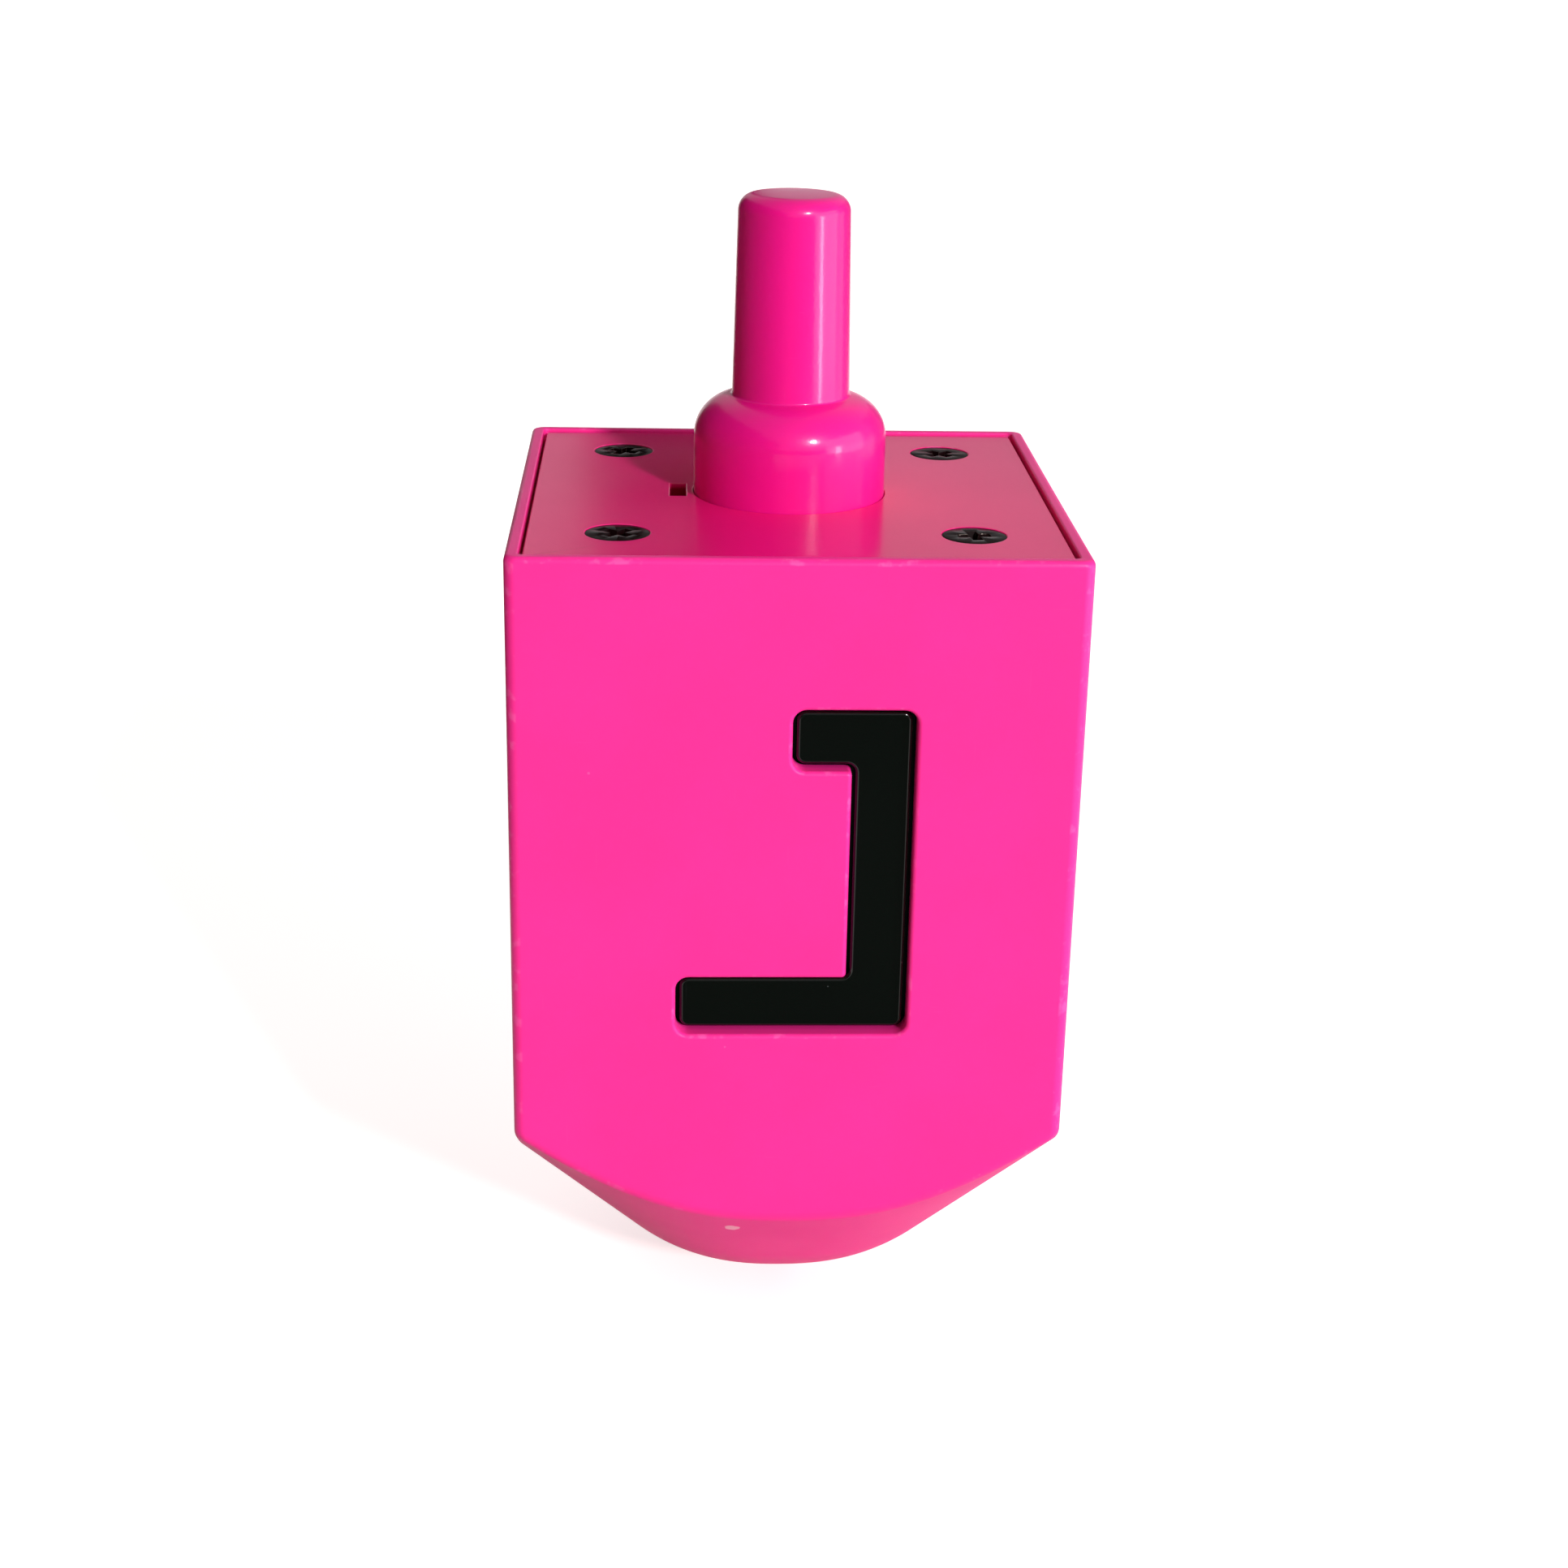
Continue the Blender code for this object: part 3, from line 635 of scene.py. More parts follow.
# %% Sizes of the body
FACE_HEIGHT = 0.0631
WALL = 0.0020
CORNER_RADIUS = 0.0010
CONE_SLOPE = radians(45)
CONE_SQUARENESS = 2.4
BALL_RADIUS = 0.025
FACE_EDGE_RADIUS = 0.0020
TIP_LENGTH = 0.0020
TIP_RADIUS = 0.0022
TIP_ROOT_RADIUS = 0.0025
RIM_WALL = 0.0012
RIM_OUTER_RADIUS = 0.0006
RIM_INNER_RADIUS = 0.0002
INNER_CORNER_RADIUS = 0.0005
RIM_INNER_HALF = HALF_WIDTH - RIM_WALL
INNER_HALF = HALF_WIDTH - WALL
BALL_CENTRE = BALL_RADIUS + TIP_LENGTH
CONE_NORMAL = degrees(CONE_SLOPE) - 90
FLAT_SHARE = 2 ** (1 / CONE_SQUARENESS - 1 / 2)
FACE_REACH = HALF_WIDTH / FLAT_SHARE
print(f"the ball of the cone's end is centred {1000 * BALL_CENTRE:.1f} mm above the floor")
print(f"towards a face the cone is {FLAT_SHARE:.3f} as wide as towards a corner")

# %% Distance from the axis to the square body and to the cone
SIDE_STEPS = 28
CORNER_STEPS = 8


def section_share(angle):
    power = CONE_SQUARENESS
    return FLAT_SHARE * (abs(cos(angle)) ** power + abs(sin(angle)) ** power) ** (-1 / power)


def square_radius(angle, half, corner):
    long_side = max(abs(cos(angle)), abs(sin(angle)))
    short_side = min(abs(cos(angle)), abs(sin(angle)))
    arc_start = half - corner
    if half * short_side / long_side <= arc_start:
        return half / long_side
    along = arc_start * (long_side + short_side)
    return along + sqrt(along * along - 2 * arc_start * arc_start + corner * corner)


def column_angles():
    side_end = (HALF_WIDTH - CORNER_RADIUS) / HALF_WIDTH
    points = [(1, side_end * (2 * i / SIDE_STEPS - 1)) for i in range(SIDE_STEPS + 1)]
    points += arc((side_end, side_end), CORNER_RADIUS / HALF_WIDTH, 0, 90, CORNER_STEPS)[1:-1]
    quarter = [atan2(y, x) for x, y in points]
    return [angle + turn * pi / 2 for turn in range(4) for angle in quarter]


# %% The cone, its ball and its tip
BALL_STEPS = 24
ROOT_STEPS = 6
POINT_STEPS = 8


def cone_height(reach, offset=0.0):
    drop = (FACE_REACH - reach) * tan(CONE_SLOPE)
    return RIM_HEIGHT - FACE_HEIGHT - drop + offset / cos(CONE_SLOPE)


def ball_arc(radius, start, end, steps, share):
    points = arc((0, BALL_CENTRE), radius, start, end, steps)
    return [(across * share, height) for across, height in points]


def tip_profile(share):
    to_ball = BALL_RADIUS + TIP_ROOT_RADIUS
    to_point = TIP_RADIUS + TIP_ROOT_RADIUS
    between = BALL_CENTRE - TIP_RADIUS
    down = (to_ball**2 - to_point**2 + between**2) / (2 * between)
    out_to = sqrt(to_ball**2 - down**2)
    root_centre = (out_to, BALL_CENTRE - down)
    ball_end = degrees(atan2(-down, out_to))
    point_start = degrees(atan2(root_centre[1] - TIP_RADIUS, out_to))
    ball = ball_arc(BALL_RADIUS, CONE_NORMAL, ball_end, BALL_STEPS, share)
    root = arc(root_centre, TIP_ROOT_RADIUS, ball_end + 180, point_start + 180, ROOT_STEPS)
    point = arc((0, TIP_RADIUS), TIP_RADIUS, point_start, -90, POINT_STEPS)
    return ball + root[1:-1] + point[:-1] + [(0, 0)]


# %% The wall's section in one direction
INNER_BALL_STEPS = 10
RIM_INNER_STEPS = 4
OUTER_STEPS = 8


def wall_section(angle):
    outer = square_radius(angle, HALF_WIDTH, CORNER_RADIUS)
    inner = square_radius(angle, INNER_HALF, INNER_CORNER_RADIUS)
    rim = square_radius(angle, RIM_INNER_HALF, INNER_CORNER_RADIUS)
    share = section_share(angle)
    inner_ball = BALL_RADIUS - WALL
    points = [(0, BALL_CENTRE - inner_ball)]
    points += ball_arc(inner_ball, -90, CONE_NORMAL, INNER_BALL_STEPS, share)[1:]
    points.append((inner, cone_height(inner / share, WALL)))
    points += [(inner, LEDGE_HEIGHT), (rim, LEDGE_HEIGHT)]
    centre = (rim + RIM_INNER_RADIUS, RIM_HEIGHT - RIM_INNER_RADIUS)
    points += arc(centre, RIM_INNER_RADIUS, 180, 90, RIM_INNER_STEPS)
    centre = (outer - RIM_OUTER_RADIUS, RIM_HEIGHT - RIM_OUTER_RADIUS)
    points += arc(centre, RIM_OUTER_RADIUS, 90, 0, OUTER_STEPS)
    slope = atan(tan(CONE_SLOPE) / share)
    rise = FACE_EDGE_RADIUS * (1 / cos(slope) - tan(slope))
    centre = (outer - FACE_EDGE_RADIUS, cone_height(outer / share) + rise)
    points += arc(centre, FACE_EDGE_RADIUS, 0, degrees(slope) - 90, OUTER_STEPS)
    return points + tip_profile(share)


# %% Join the sections into the shell
sections = [(angle, wall_section(angle)) for angle in column_angles()]
rings = []
for i, (radius, height) in enumerate(sections[0][1]):
    if radius == 0:
        rings.append([(0, 0, height)])
    else:
        rings.append([(s[i][0] * cos(a), s[i][0] * sin(a), s[i][1]) for a, s in sections])
shell = new_object("pink_body_shell", loft("pink_body_shell", rings))
print(f"{len(sections)} sections with {len(rings)} points each")

# %% [markdown]
# ## The letters and their windows
#
# Each face carries one of the four traditional letters of the game, nun, gimel, hei and shin, in
# plain block strokes. A letter is listed as the corners of its strokes, counter-clockwise.
# `rounded` grows that outline by a distance and rounds its corners, so the same corners serve
# twice: for the window in the pink wall, and for the black insert that fills it with a small gap
# all round.

# %% Outlines of the letters
LETTER_HEIGHT = 0.0300
LETTER_WIDTH = 0.0200
STROKE = 0.0048
GIMEL_FOOT = 1.2 * STROKE
HEI_LEG_DROP = 1.8 * STROKE
FACE_TURNS = {"nun": 0, "gimel": -90, "hei": 180, "shin": 90}


def letter_outlines():
    w = LETTER_WIDTH / 2
    h = LETTER_HEIGHT / 2
    s = STROKE
    right = w - s
    m = s / 2
    nun = [
        (-w, -h), (w, -h), (w, h), (0, h), (0, h - s), (right, h - s), (right, s - h), (-w, s - h),
    ]
    gimel = [
        (-w, -h), (-w + GIMEL_FOOT, -h), (right, -h / 3), (right, -h), (w, -h),
        (w, h), (0, h), (0, h - s), (right, h - s), (right, 0), (-w, -h + m),
    ]
    hei = [(right, -h), (w, -h), (w, h), (-w, h), (-w, h - s), (right, h - s)]
    hei_leg = [(-w, -h), (s - w, -h), (s - w, h - HEI_LEG_DROP), (-w, h - HEI_LEG_DROP)]
    shin = [
        (-w, -h), (w, -h), (w, h), (right, h), (right, s - h), (m, s - h),
        (m, h), (-m, h), (-m, s - h), (-right, s - h), (-right, h), (-w, h),
    ]
    return {"nun": [nun], "gimel": [gimel], "hei": [hei, hei_leg], "shin": [shin]}


# %% Growing and rounding an outline
CORNER_ARC_STEPS = 8
SHARPEST_SHARE = 0.3


def with_neighbours(corners):
    return zip(corners[-1:] + corners[:-1], corners, corners[1:] + corners[:1])


def grown(corners, distance):
    moved = []
    for before, here, after in with_neighbours(corners):
        first = (Vector(here) - Vector(before)).normalized()
        second = (Vector(after) - Vector(here)).normalized()
        outward = Vector((first.y, -first.x)) + Vector((second.y, -second.x))
        moved.append(Vector(here) + outward * (distance / (1 + first.dot(second))))
    return moved


def rounded(corners, radius, grow=0.0):
    outline = []
    for before, here, after in with_neighbours(grown(corners, grow)):
        first = (here - before).normalized()
        second = (after - here).normalized()
        turn = first.angle_signed(second)
        bend = radius + grow if turn < 0 else max(radius - grow, SHARPEST_SHARE * radius)
        start = here - first * (bend * tan(abs(turn) / 2))
        inward = Vector((-first.y, first.x)) if turn < 0 else Vector((first.y, -first.x))
        centre = start + inward * bend
        for i in range(CORNER_ARC_STEPS + 1):
            swing = Matrix.Rotation(-turn * i / CORNER_ARC_STEPS, 2)
            outline.append(centre + swing @ (start - centre))
    return outline


# %% Placing an outline in a face
LETTER_CENTRE = 0.0288
LETTER_CORNER = 0.0008
QUARTER_CIRCLE = [radians(angle) for angle in range(0, 91, 15)]


def wall_ring(outline, depth):
    level = RIM_HEIGHT - LETTER_CENTRE
    return [(point[0], -HALF_WIDTH + depth, level + point[1]) for point in outline]


def letter_ring(corners, grow, depth):
    return wall_ring(rounded(corners, LETTER_CORNER, grow), depth)


def turn_to_face(mesh, letter):
    mesh.transform(Matrix.Rotation(radians(FACE_TURNS[letter]), 4, "Z"))
    return mesh


# %% [markdown]
# ## Cutting the windows
#
# The cutter of a window widens in a quarter circle where it leaves the face. What it leaves behind
# is a window whose edge is rounded, without a bevel afterwards, which is fragile on a cut as
# intricate as a letter.

# %% Cut the letter windows
WINDOW_GAP = 0.0004
WINDOW_EDGE_RADIUS = 0.0004
OVERLAP = 0.0004

cutters = []
for letter, outlines in letter_outlines().items():
    for corners in outlines:
        rings = [letter_ring(corners, WINDOW_GAP, WALL + OVERLAP)]
        for angle in QUARTER_CIRCLE:
            widen = WINDOW_GAP + WINDOW_EDGE_RADIUS * (1 - cos(angle))
            rings.append(letter_ring(corners, widen, WINDOW_EDGE_RADIUS * (1 - sin(angle))))
        rings.append(letter_ring(corners, WINDOW_GAP + WINDOW_EDGE_RADIUS, -OVERLAP))
        cutters.append(turn_to_face(loft("window", rings), letter))
combine(shell, cutters, "DIFFERENCE")
print(f"{len(cutters)} windows cut")

# %% [markdown]
# ## Screw bosses inside the body
#
# Each screw bites into a boss: a plastic post with a pilot hole, tied to the corner of the body by
# a web so that it doesn't twist off. They can't be seen with the lid on, but the shell is a whole
# piece and is modelled as one.

# %% Where the screws are
screws = {}
for name in frame["nodes"]:
    if name.startswith("screw_"):
        low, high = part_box(name)
        screws[name] = (low + high) / 2
print(f"{len(screws)} screws in the frame")

# %% Add the bosses and their pilot holes
BOSS_RADIUS = 0.0030
BOSS_DEPTH = 0.0105
BOSS_FLOOR = 0.0014
BOSS_WEB = 0.0014
BOSS_WEB_DROP = 0.0010
SCREW_SHANK_RADIUS = 0.0013
SCREW_STEPS = 48

bosses = []
pilots = []
bottom = LEDGE_HEIGHT - BOSS_DEPTH
bore_end = bottom + BOSS_FLOOR
bore = SCREW_SHANK_RADIUS + SEAT_GAP
post = [(0, bottom), (BOSS_RADIUS, bottom), (BOSS_RADIUS, LEDGE_HEIGHT), (0, LEDGE_HEIGHT)]
pilot = [(0, bore_end), (bore, bore_end), (bore, LID_BOTTOM), (0, LID_BOTTOM)]
for centre in screws.values():
    place = Vector((centre.x, centre.y))
    bosses.append(turned("boss", post, SCREW_STEPS, place))
    outward = place.normalized()
    side = Vector((-outward.y, outward.x)) * (BOSS_WEB / 2)
    far = outward * (sqrt(2) * INNER_HALF + OVERLAP)
    web = [place - side, far - side, far + side, place + side]
    bosses.append(block("web", web, bottom + BOSS_WEB_DROP, LEDGE_HEIGHT - BOSS_WEB_DROP))
    pilots.append(turned("pilot", pilot, SCREW_STEPS, place))
combine(shell, bosses, "UNION")
combine(shell, pilots, "DIFFERENCE")
finish_mesh(drop_slivers(shell))
present(shell, body_pink, "body_pink", "body_shell")

# %% [markdown]
# ## The black inserts
#
# Behind each window lies a black plate, and the letter stands up from it into the window, one
# millimetre below the pink face. Its edges are softly rounded, and that rounding is what draws the
# thin bright line round each stroke.

# %% Make the letter plates
LETTER_SINK = 0.0010
LETTER_EDGE_RADIUS = 0.0003
PLATE_MARGIN = 0.0028
PLATE_THICKNESS = 0.0012
PLATE_CORNER = 0.0020

plate_corners = rectangle(LETTER_WIDTH / 2 + PLATE_MARGIN, LETTER_HEIGHT / 2 + PLATE_MARGIN)
plate_outline = rounded(plate_corners, PLATE_CORNER)
front = WALL + SEAT_GAP
for letter, outlines in letter_outlines().items():
    rings = [wall_ring(plate_outline, depth) for depth in (front, front + PLATE_THICKNESS)]
    plate = new_object(f"black_letter_{letter}", turn_to_face(loft("plate", rings), letter))
    strokes = []
    for corners in outlines:
        rings = [letter_ring(corners, 0.0, front + PLATE_THICKNESS / 2)]
        for angle in QUARTER_CIRCLE:
            inset = -LETTER_EDGE_RADIUS * (1 - cos(angle))
            depth = LETTER_SINK + LETTER_EDGE_RADIUS * (1 - sin(angle))
            rings.append(letter_ring(corners, inset, depth))
        strokes.append(turn_to_face(loft("stroke", rings), letter))
    combine(plate, strokes, "UNION")
    finish_mesh(plate)
    present(plate, letter_black, "letter_black", f"letter_{letter}")

# %% [markdown]
# ## The lid
#
# The lid is a flat plate inside the rim, with a round hole for the stem, four countersunk screw
# holes and a slot for the stem's key. A little below its top a small step closes the gap to the
# rim, so that the gap shows as a soft groove. After the cuts a Bevel modifier rounds what is left
# of the sharp edges: on flat parts with a few clean cuts it is quick and safe.

# %% Sizes of the lid
SLIDE_GAP = 0.0002
CLOSE_GAP = 0.00005
LID_STEP_DEPTH = 0.0008
COLLAR_RADIUS = 0.00885
LATHE_STEPS = 128
SLOT_LENGTH = 0.0048
SLOT_WIDTH = 0.0015
SLOT_OFFSET = 0.0103
SCREW_HEAD_RADIUS = 0.0028
SCREW_HEAD_LIP = 0.0002
LID_BEVEL = 0.00012
SCREW_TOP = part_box("screw_front_left")[1].z
print(f"the screw heads lie {1e6 * (LID_TOP - SCREW_TOP):.0f} micrometres below the lid's top")

# %% Make the lid
step_out = RIM_INNER_HALF - CLOSE_GAP - LID_HALF
step_top = LID_TOP - LID_STEP_DEPTH
lid_levels = ((LID_BOTTOM, step_out), (step_top, step_out), (step_top, 0.0), (LID_TOP, 0.0))
square = rectangle(LID_HALF, LID_HALF)
rings = [level_ring(rounded(square, INNER_CORNER_RADIUS, grow), z) for z, grow in lid_levels]
lid = new_object("pink_lid", loft("pink_lid", rings))

below = LID_BOTTOM - OVERLAP
above = LID_TOP + OVERLAP
hole = COLLAR_RADIUS + CLOSE_GAP
stem_hole = [(0, below), (hole, below), (hole, above), (0, above)]
cutters = [turned("stem_hole", stem_hole, LATHE_STEPS)]
slot = rectangle(SLOT_WIDTH / 2, SLOT_LENGTH / 2, -SLOT_OFFSET)
cutters.append(block("key_slot", slot, below, above))
shank = SCREW_SHANK_RADIUS + SLIDE_GAP
mouth = SCREW_HEAD_RADIUS + CLOSE_GAP
lip = SCREW_TOP - SCREW_HEAD_LIP
cone_foot = lip - (mouth - shank)
sink = [(0, below), (shank, below), (shank, cone_foot), (mouth, lip), (mouth, above), (0, above)]
for centre in screws.values():
    cutters.append(turned("sink", sink, SCREW_STEPS, (centre.x, centre.y)))
combine(lid, cutters, "DIFFERENCE")
finish_mesh(soften(lid, LID_BEVEL, 3))
present(lid, lid_pink, "lid_pink", "lid")

# %% [markdown]
# ## The finger stem
#
# The stem is a turned piece: a tapered post on a wide, rounded collar. Below the lid it spreads
# into a flange that the lid holds down, and it is cored out so that the plastic doesn't sink as it
# cools. One profile, turned round the axis, makes all of it. A small lug is joined on, which sits
# in the lid's slot and keeps the stem from turning.

# %% Sizes of the stem
POST_TOP_RADIUS = 0.00507
POST_DRAFT = radians(1.1)
POST_END_RADIUS = 0.0015
POST_END_STEPS = 14
COLLAR_HEIGHT = 0.0088
COLLAR_ROUNDING = 0.00375
COLLAR_STEPS = 24
FLANGE_RADIUS = 0.0124
FLANGE_THICKNESS = 0.0016
POST_CORE_RADIUS = 0.0032
COLLAR_CORE_RADIUS = 0.0052
STEM_WALL_TOP = 0.0020
CREASE_RADIUS = 0.00025
CREASE_STEPS = 4
KEY_RISE = -0.0005

flange_top = LID_BOTTOM - SEAT_GAP
flange_bottom = stem_low.z
collar_top = RIM_HEIGHT + COLLAR_HEIGHT
core_top = STEM_TOP - STEM_WALL_TOP
core_step = collar_top - (COLLAR_RADIUS - COLLAR_CORE_RADIUS)
post_foot = POST_TOP_RADIUS + (STEM_TOP - POST_END_RADIUS - collar_top) * tan(POST_DRAFT)
print(f"the post is {2000 * post_foot:.1f} mm thick at its foot")

# %% Make the stem
rounding_centre = (COLLAR_RADIUS - COLLAR_ROUNDING, collar_top - COLLAR_ROUNDING)
collar_arc = arc(rounding_centre, COLLAR_ROUNDING, 0, 90, COLLAR_STEPS)
collar_arc = [p for p in collar_arc if p[0] > post_foot + 2 * CREASE_RADIUS]
crease = rounding_centre[1] + sqrt(COLLAR_ROUNDING**2 - (post_foot - rounding_centre[0]) ** 2)
crease_centre = (post_foot + CREASE_RADIUS, crease + CREASE_RADIUS)
end_centre = (POST_TOP_RADIUS - POST_END_RADIUS, STEM_TOP - POST_END_RADIUS)
profile = [
    (0, core_top),
    (POST_CORE_RADIUS, core_top),
    (POST_CORE_RADIUS, core_step),
    (COLLAR_CORE_RADIUS, core_step - (COLLAR_CORE_RADIUS - POST_CORE_RADIUS)),
    (COLLAR_CORE_RADIUS, flange_bottom),
    (FLANGE_RADIUS, flange_bottom),
    (FLANGE_RADIUS, flange_top),
    (COLLAR_RADIUS, flange_top),
    *collar_arc,
    *arc(crease_centre, CREASE_RADIUS, -90, -180, CREASE_STEPS),
    *arc(end_centre, POST_END_RADIUS, 0, 90, POST_END_STEPS),
    (0, STEM_TOP),
]
stem = new_object("pink_finger_stem", turned("pink_finger_stem", profile, LATHE_STEPS))
lug = rectangle(SLOT_WIDTH / 2 - SLIDE_GAP, SLOT_LENGTH / 2 - SLIDE_GAP, -SLOT_OFFSET)
lug_bottom = flange_bottom + FLANGE_THICKNESS / 2
combine(stem, [block("lug", lug, lug_bottom, LID_BOTTOM + KEY_RISE)], "UNION")
finish_mesh(stem)
present(stem, stem_pink, "stem_pink", "finger_stem")

# %% [markdown]
# ## The screws
#
# A countersunk screw has a flat head on a cone, a shank, and a cross recess whose slots narrow as
# they go down. The four screws are equal, but each was driven to a different angle, and that small
# disorder is what makes them look real.

# %% Sizes of the screws
SCREW_LENGTH = 0.0100
SCREW_POINT_LENGTH = 0.0015
SCREW_POINT_RADIUS = SCREW_SHANK_RADIUS / 4
SCREW_BEVEL = 0.00005
RECESS_LENGTH = 0.0033
RECESS_WIDTH = 0.0010
RECESS_DEPTH = 0.0013
RECESS_FOOT_LENGTH = 0.0018
RECESS_FOOT_WIDTH = 0.0008
SCREW_TURNS = {
    "screw_front_left": 48, "screw_front_right": 8, "screw_rear_right": 40, "screw_rear_left": 62,
}


def slot_cutter(centre, turn):
    foot = rectangle(RECESS_FOOT_LENGTH / 2, RECESS_FOOT_WIDTH / 2)
    top = rectangle(RECESS_LENGTH / 2, RECESS_WIDTH / 2)
    rings = [level_ring(foot, SCREW_TOP - RECESS_DEPTH), level_ring(top, SCREW_TOP + OVERLAP)]
    mesh = loft("slot", rings)
    swing = Matrix.Rotation(radians(turn), 4, "Z")
    mesh.transform(Matrix.Translation((centre.x, centre.y, 0)) @ swing)
    return mesh


# %% Make the screws
head_cone = lip - (SCREW_HEAD_RADIUS - SCREW_SHANK_RADIUS)
screw_end = SCREW_TOP - SCREW_LENGTH
screw_profile = [
    (0, screw_end),
    (SCREW_POINT_RADIUS, screw_end),
    (SCREW_SHANK_RADIUS, screw_end + SCREW_POINT_LENGTH),
    (SCREW_SHANK_RADIUS, head_cone),
    (SCREW_HEAD_RADIUS, lip),
    (SCREW_HEAD_RADIUS, SCREW_TOP),
    (0, SCREW_TOP),
]
for name, centre in sorted(screws.items()):
    mesh = turned(f"black_{name}", screw_profile, SCREW_STEPS, (centre.x, centre.y))
    screw = new_object(f"black_{name}", mesh)
    cross = [slot_cutter(centre, SCREW_TURNS[name] + turn) for turn in (0, 90)]
    combine(screw, cross, "DIFFERENCE")
    finish_mesh(soften(screw, SCREW_BEVEL, 2), SCREW_BEVEL)
    present(screw, screw_black, "screw_black", name)

# %% [markdown]
# ## The studio
#
# The toy stands on a pale floor. The camera should see that floor as pure white, but the floor
# mustn't throw extra light at the toy. The Light Path node tells the two apart: rays that make the
# picture, straight from the camera or by way of a mirror or glass, get a little glow added, and the
# diffuse rays that carry light from surface to surface don't. The glow is added to the floor's own
# shading, so the toy's shadow stays. It is weaker close to the toy, and more so in reflections,
# because the toy shades the spot that its own underside mirrors. From below the floor is
# transparent, so the underside can be looked at too.

# %% Floor
FLOOR_SIZE = 8.0
FLOOR_COLOUR = (0.68, 0.60, 0.56)
FLOOR_GLOW = 0.80
CONTACT_GLOW = 0.62
CONTACT_RADIUS = 0.030
MIRRORED_GLOW = 0.0
MIRRORED_RADIUS = 0.15

floor = new_object("floor", bpy.data.meshes.new("floor"))
floor_corners = level_ring(rectangle(FLOOR_SIZE / 2, FLOOR_SIZE / 2), 0)
floor.data.from_pydata(floor_corners, [], [(0, 1, 2, 3)])
print(f"floor {FLOOR_SIZE:.0f} m wide")

# %% Paint and glow of the floor
def picture_rays(tree):
    path = node(tree, "ShaderNodeLightPath").outputs
    mirrored = maths(tree, "MAXIMUM", path["Is Glossy Ray"], path["Is Transmission Ray"])
    return path["Is Camera Ray"], mirrored


floor_white = bpy.data.materials.new("floor_white")
floor_white.use_nodes = True
tree = floor_white.node_tree
tree.nodes.remove(tree.nodes["Principled BSDF"])
paint = node(tree, "ShaderNodeBsdfDiffuse", (("Color", (*FLOOR_COLOUR, 1.0)),))
from_axis = vector_maths(tree, "LENGTH", own_place(tree), output="Value")
direct, mirrored = picture_rays(tree)
direct_level = ramp(tree, from_axis, 0.0, CONTACT_RADIUS, CONTACT_GLOW, FLOOR_GLOW)
mirrored_level = ramp(tree, from_axis, 0.0, MIRRORED_RADIUS, MIRRORED_GLOW, FLOOR_GLOW)
mirrored_part = maths(tree, "MULTIPLY", mirrored, mirrored_level)
level = maths(tree, "MULTIPLY_ADD", direct, direct_level, mirrored_part)
glow = node(tree, "ShaderNodeEmission", (("Strength", level),))
lit = node(tree, "ShaderNodeAddShader", ((0, paint.outputs[0]), (1, glow.outputs[0])))
clear = node(tree, "ShaderNodeBsdfTransparent")
behind = node(tree, "ShaderNodeNewGeometry").outputs["Backfacing"]
mix = node(tree, "ShaderNodeMixShader", ((0, behind), (1, lit.outputs[0]), (2, clear.outputs[0])))
tree.links.new(mix.outputs[0], tree.nodes["Material Output"].inputs["Surface"])
floor.data.materials.append(floor_white)

# %% [markdown]
# ## Light from all round
#
# The world is the room. For diffuse rays it is a soft grey, warmer and dimmer on the left. The
# camera sees it plain white. In reflections it is white low down and falls off to grey higher up,
# as the walls of a studio do: a shiny lid that is seen at a low angle mirrors the upper part, and
# would look washed out if that were white.

# %% World
ROOM_LEFT = (0.14, 0.105, 0.085)
ROOM_RIGHT = (0.42, 0.41, 0.42)
ROOM_TURN = 0.8
ROOM_HIGH = 0.42
WHITE_BELOW = 0.02
GREY_ABOVE = 0.14

world = bpy.data.worlds.new("room")
bpy.context.scene.world = world
world.use_nodes = True
tree = world.node_tree
direction = node(tree, "ShaderNodeTexCoord").outputs["Generated"]
parts = node(tree, "ShaderNodeSeparateXYZ", ((0, direction),)).outputs
direct, mirrored = picture_rays(tree)
wall = ramp(tree, parts["Z"], WHITE_BELOW, GREY_ABOVE, 1.0, ROOM_HIGH)
wall = maths(tree, "MAXIMUM", wall, direct)
fill = blend(tree, ramp(tree, parts["X"], -ROOM_TURN, ROOM_TURN), ROOM_LEFT, ROOM_RIGHT)
room = blend(tree, maths(tree, "MAXIMUM", direct, mirrored), fill, wall)
tree.links.new(room, tree.nodes["Background"].inputs["Color"])
print(f"room light {ROOM_LEFT} from the left, {ROOM_RIGHT} from the right")

# %% [markdown]
# ## Lamps
#
# The main lamp stands to the right of the camera and a little above it: the shadow of the stem on
# the lid points away from it. A Sun lamp has the same strength everywhere, so the floor stays even,
# and its angle sets how soft the shadow's edge is. A weak lamp behind keeps the far sides readable.

# %% Sun lamps
def aim(lamp, turn, height):
    facing = Matrix.Rotation(radians(turn), 4, "Z") @ Matrix.Rotation(radians(90 - height), 4, "X")
    lamp.rotation_euler = facing.to_euler()


def sun(name, turn, height, strength, angle, colour):
    data = bpy.data.lights.new(name, "SUN")
    data.energy = strength
    data.angle = radians(angle)
    data.color = colour
    lamp = new_object(name, data)
    aim(lamp, turn, height)
    return lamp


key = sun("key_lamp", turn=27, height=23.4, strength=2.75, angle=5, colour=(1.0, 0.97, 0.98))
back = sun("back_lamp", turn=180, height=8, strength=0.9, angle=20, colour=(0.95, 0.97, 1.0))
back.visible_glossy = False
print("sun lamps:", key.name, back.name)

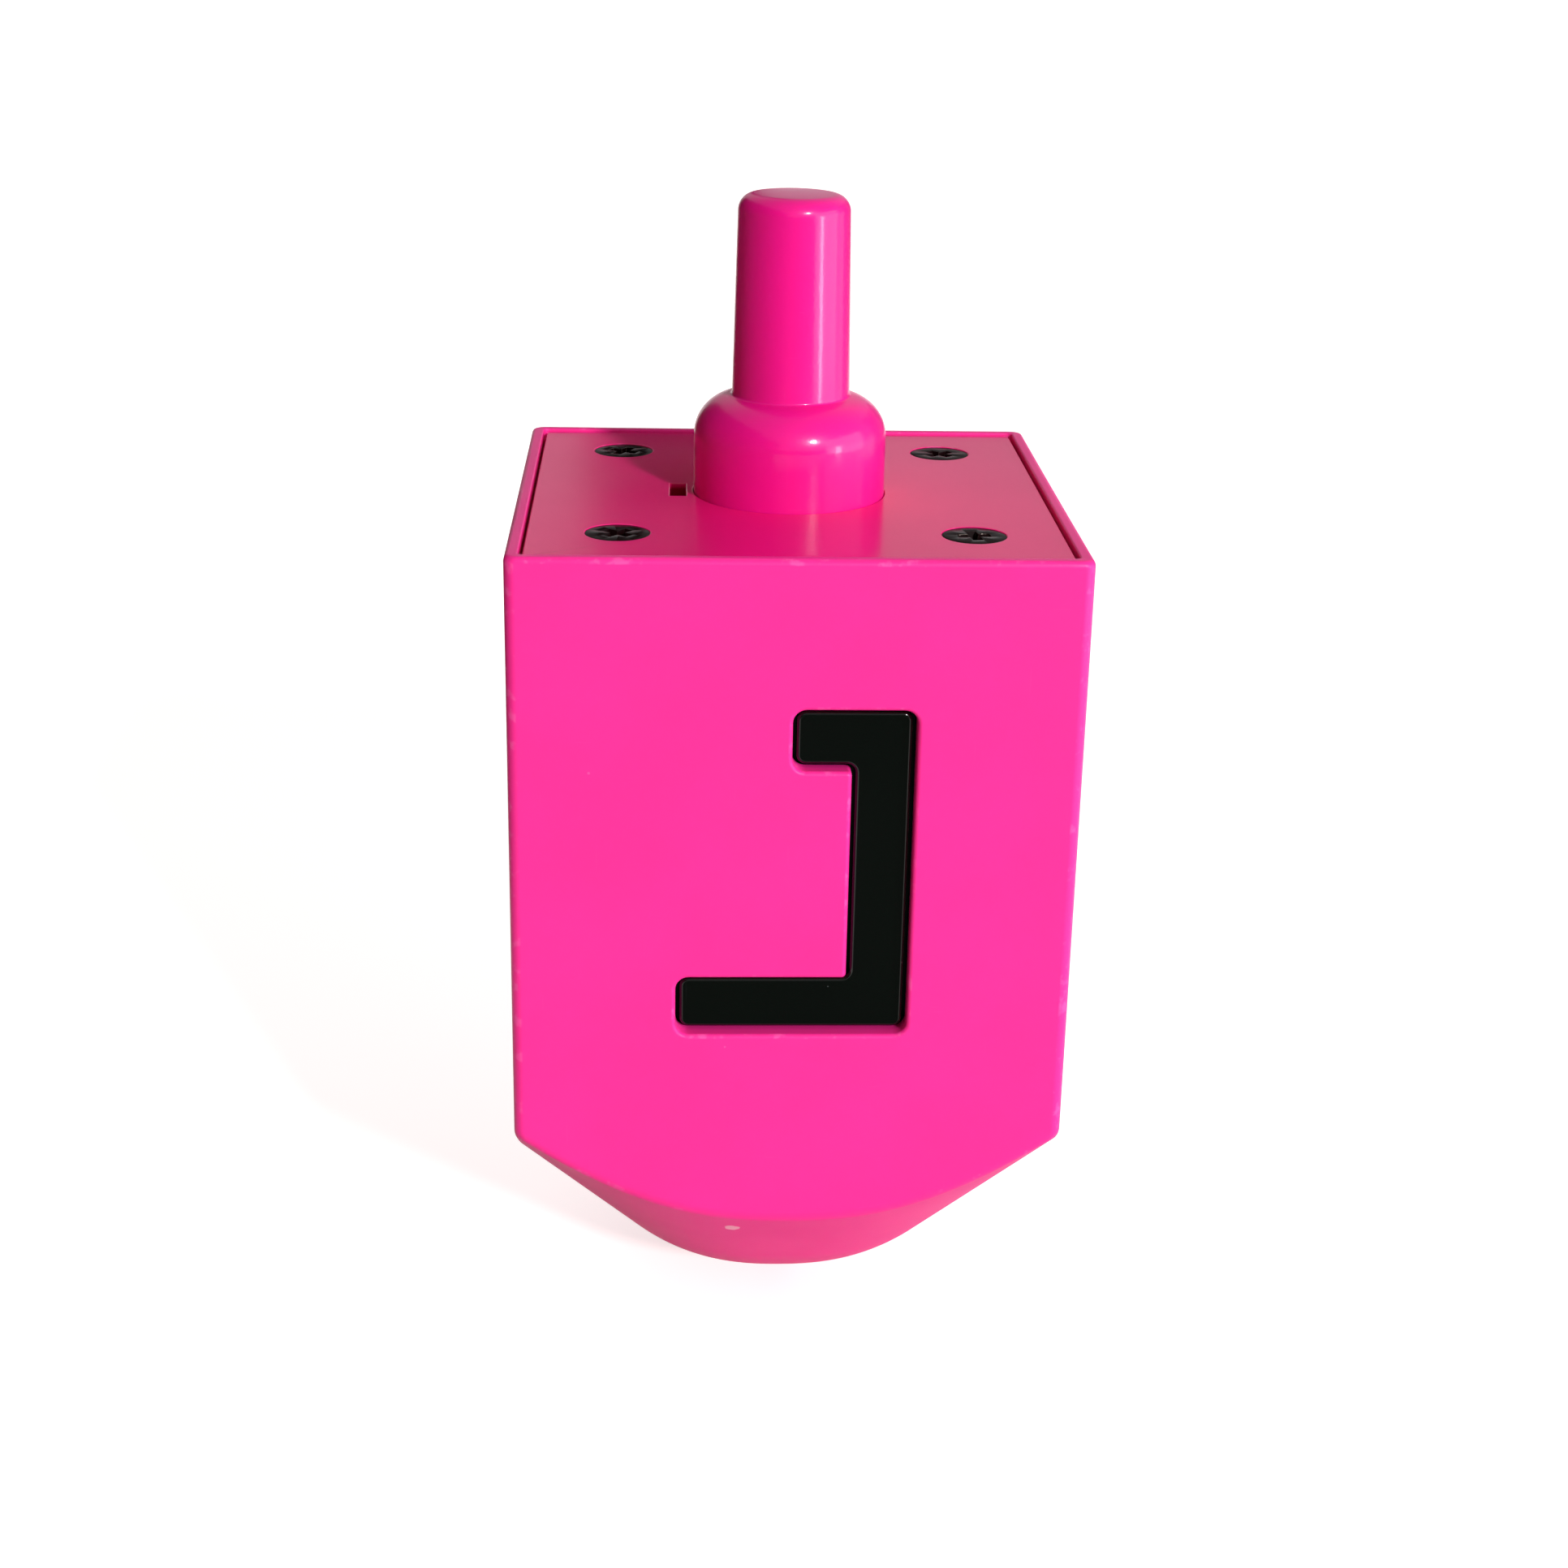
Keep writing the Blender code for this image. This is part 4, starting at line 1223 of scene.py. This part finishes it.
# %% [markdown]
# A Sun lamp is only a small disc in a reflection, so two panels are added on the right. A narrow
# strip draws the line of light down the post, and a wide dim window beside it gives the right-hand
# edges their lilac sheen.

# %% Panels
PANEL_COLOUR = (0.80, 0.86, 1.0)
PANEL_LEVEL = 0.065


def panel(name, turn, height, distance, wide, high, power):
    data = bpy.data.lights.new(name, "AREA")
    data.shape = "RECTANGLE"
    data.size = wide
    data.size_y = high
    data.energy = power
    data.color = PANEL_COLOUR
    lamp = new_object(name, data)
    aim(lamp, turn, height)
    outward = lamp.rotation_euler.to_matrix() @ Vector((0, 0, distance))
    lamp.location = Vector((0, 0, PANEL_LEVEL)) + outward
    lamp.visible_camera = False
    return lamp


strip = panel("strip_lamp", turn=56, height=0, distance=0.35, wide=0.035, high=0.10, power=0.20)
window = panel("window_lamp", turn=68, height=10, distance=0.42, wide=0.42, high=0.27, power=0.85)
print("panels:", strip.name, window.name)

# %% [markdown]
# ## Dark cards
#
# Photographers stand dark cards beside a shiny object, so that it has something dark to mirror and
# its form reads. There are four here: a black one on the left, which gives the stem its dark left
# side, a low black one in front, which keeps the middle of the stem deep pink, a black one behind,
# whose reflection lies across the left part of the lid, and a grey one far on the right, which
# keeps the stem's right edge pink. They are switched off for everything but reflections, so they
# throw no shadow.

# %% Cards that only reflections see
CARD_BLACK = 0.01
CARD_GREY = 0.5


def card_paint(name, level):
    paint = bpy.data.materials.new(name)
    paint.use_nodes = True
    sockets = paint.node_tree.nodes["Principled BSDF"].inputs
    sockets["Base Color"].default_value = (level, level, level, 1.0)
    sockets["Roughness"].default_value = 1.0
    sockets["Specular IOR Level"].default_value = 0.0
    return paint


def card(name, paint, place, wide, high, turn):
    mesh = bpy.data.meshes.new(name)
    corners = [(x, 0, z) for x, z in rectangle(wide / 2, high / 2)]
    mesh.from_pydata(corners, [], [(0, 1, 2, 3)])
    mesh.materials.append(paint)
    made = new_object(name, mesh)
    made.location = place
    made.rotation_euler = (0, 0, radians(turn))
    for rays in ("camera", "diffuse", "shadow", "transmission"):
        setattr(made, f"visible_{rays}", False)
    return made


black = card_paint("card_black", CARD_BLACK)
grey = card_paint("card_grey", CARD_GREY)
cards = [
    card("left_card", black, (-0.13, -0.04, 0.12), wide=0.82, high=0.24, turn=90),
    card("back_card", black, (-0.0115, 0.60, 0.37), wide=0.053, high=0.50, turn=0),
    card("right_card", grey, (0.24, 0.42, 0.12), wide=0.60, high=0.24, turn=90),
    card("front_card", black, (0.05, -0.40, 0.05), wide=0.60, high=0.10, turn=0),
]
print("cards:", ", ".join(made.name for made in cards))

# %% [markdown]
# ## The camera
#
# The photograph was taken from a little above the rim, slightly left of the middle and tipped by
# about a degree. The lens and the place were worked out by matching the corners of the square top
# and the screws to the picture.

# %% Camera
CAMERA_PLACE = (-0.01118, -0.22980, 0.13813)
CAMERA_TURN = -2.821
CAMERA_PITCH = 69.427
CAMERA_ROLL = 1.208
CAMERA_LENS = 58.10
SENSOR_WIDTH = 36
NEAREST = 0.01

camera_data = bpy.data.cameras.new("camera")
camera_data.lens = CAMERA_LENS
camera_data.sensor_width = SENSOR_WIDTH
camera_data.clip_start = NEAREST
camera = new_object("camera", camera_data)
pitch = Matrix.Rotation(radians(CAMERA_PITCH), 4, "X")
facing = Matrix.Rotation(radians(CAMERA_TURN), 4, "Z") @ pitch
roll = Matrix.Rotation(radians(CAMERA_ROLL), 4, "Z")
camera.matrix_world = Matrix.Translation(CAMERA_PLACE) @ facing @ roll
bpy.context.scene.camera = camera
bpy.context.scene.view_settings.view_transform = "Standard"
print(f"camera at {CAMERA_PLACE}, lens {CAMERA_LENS} mm")
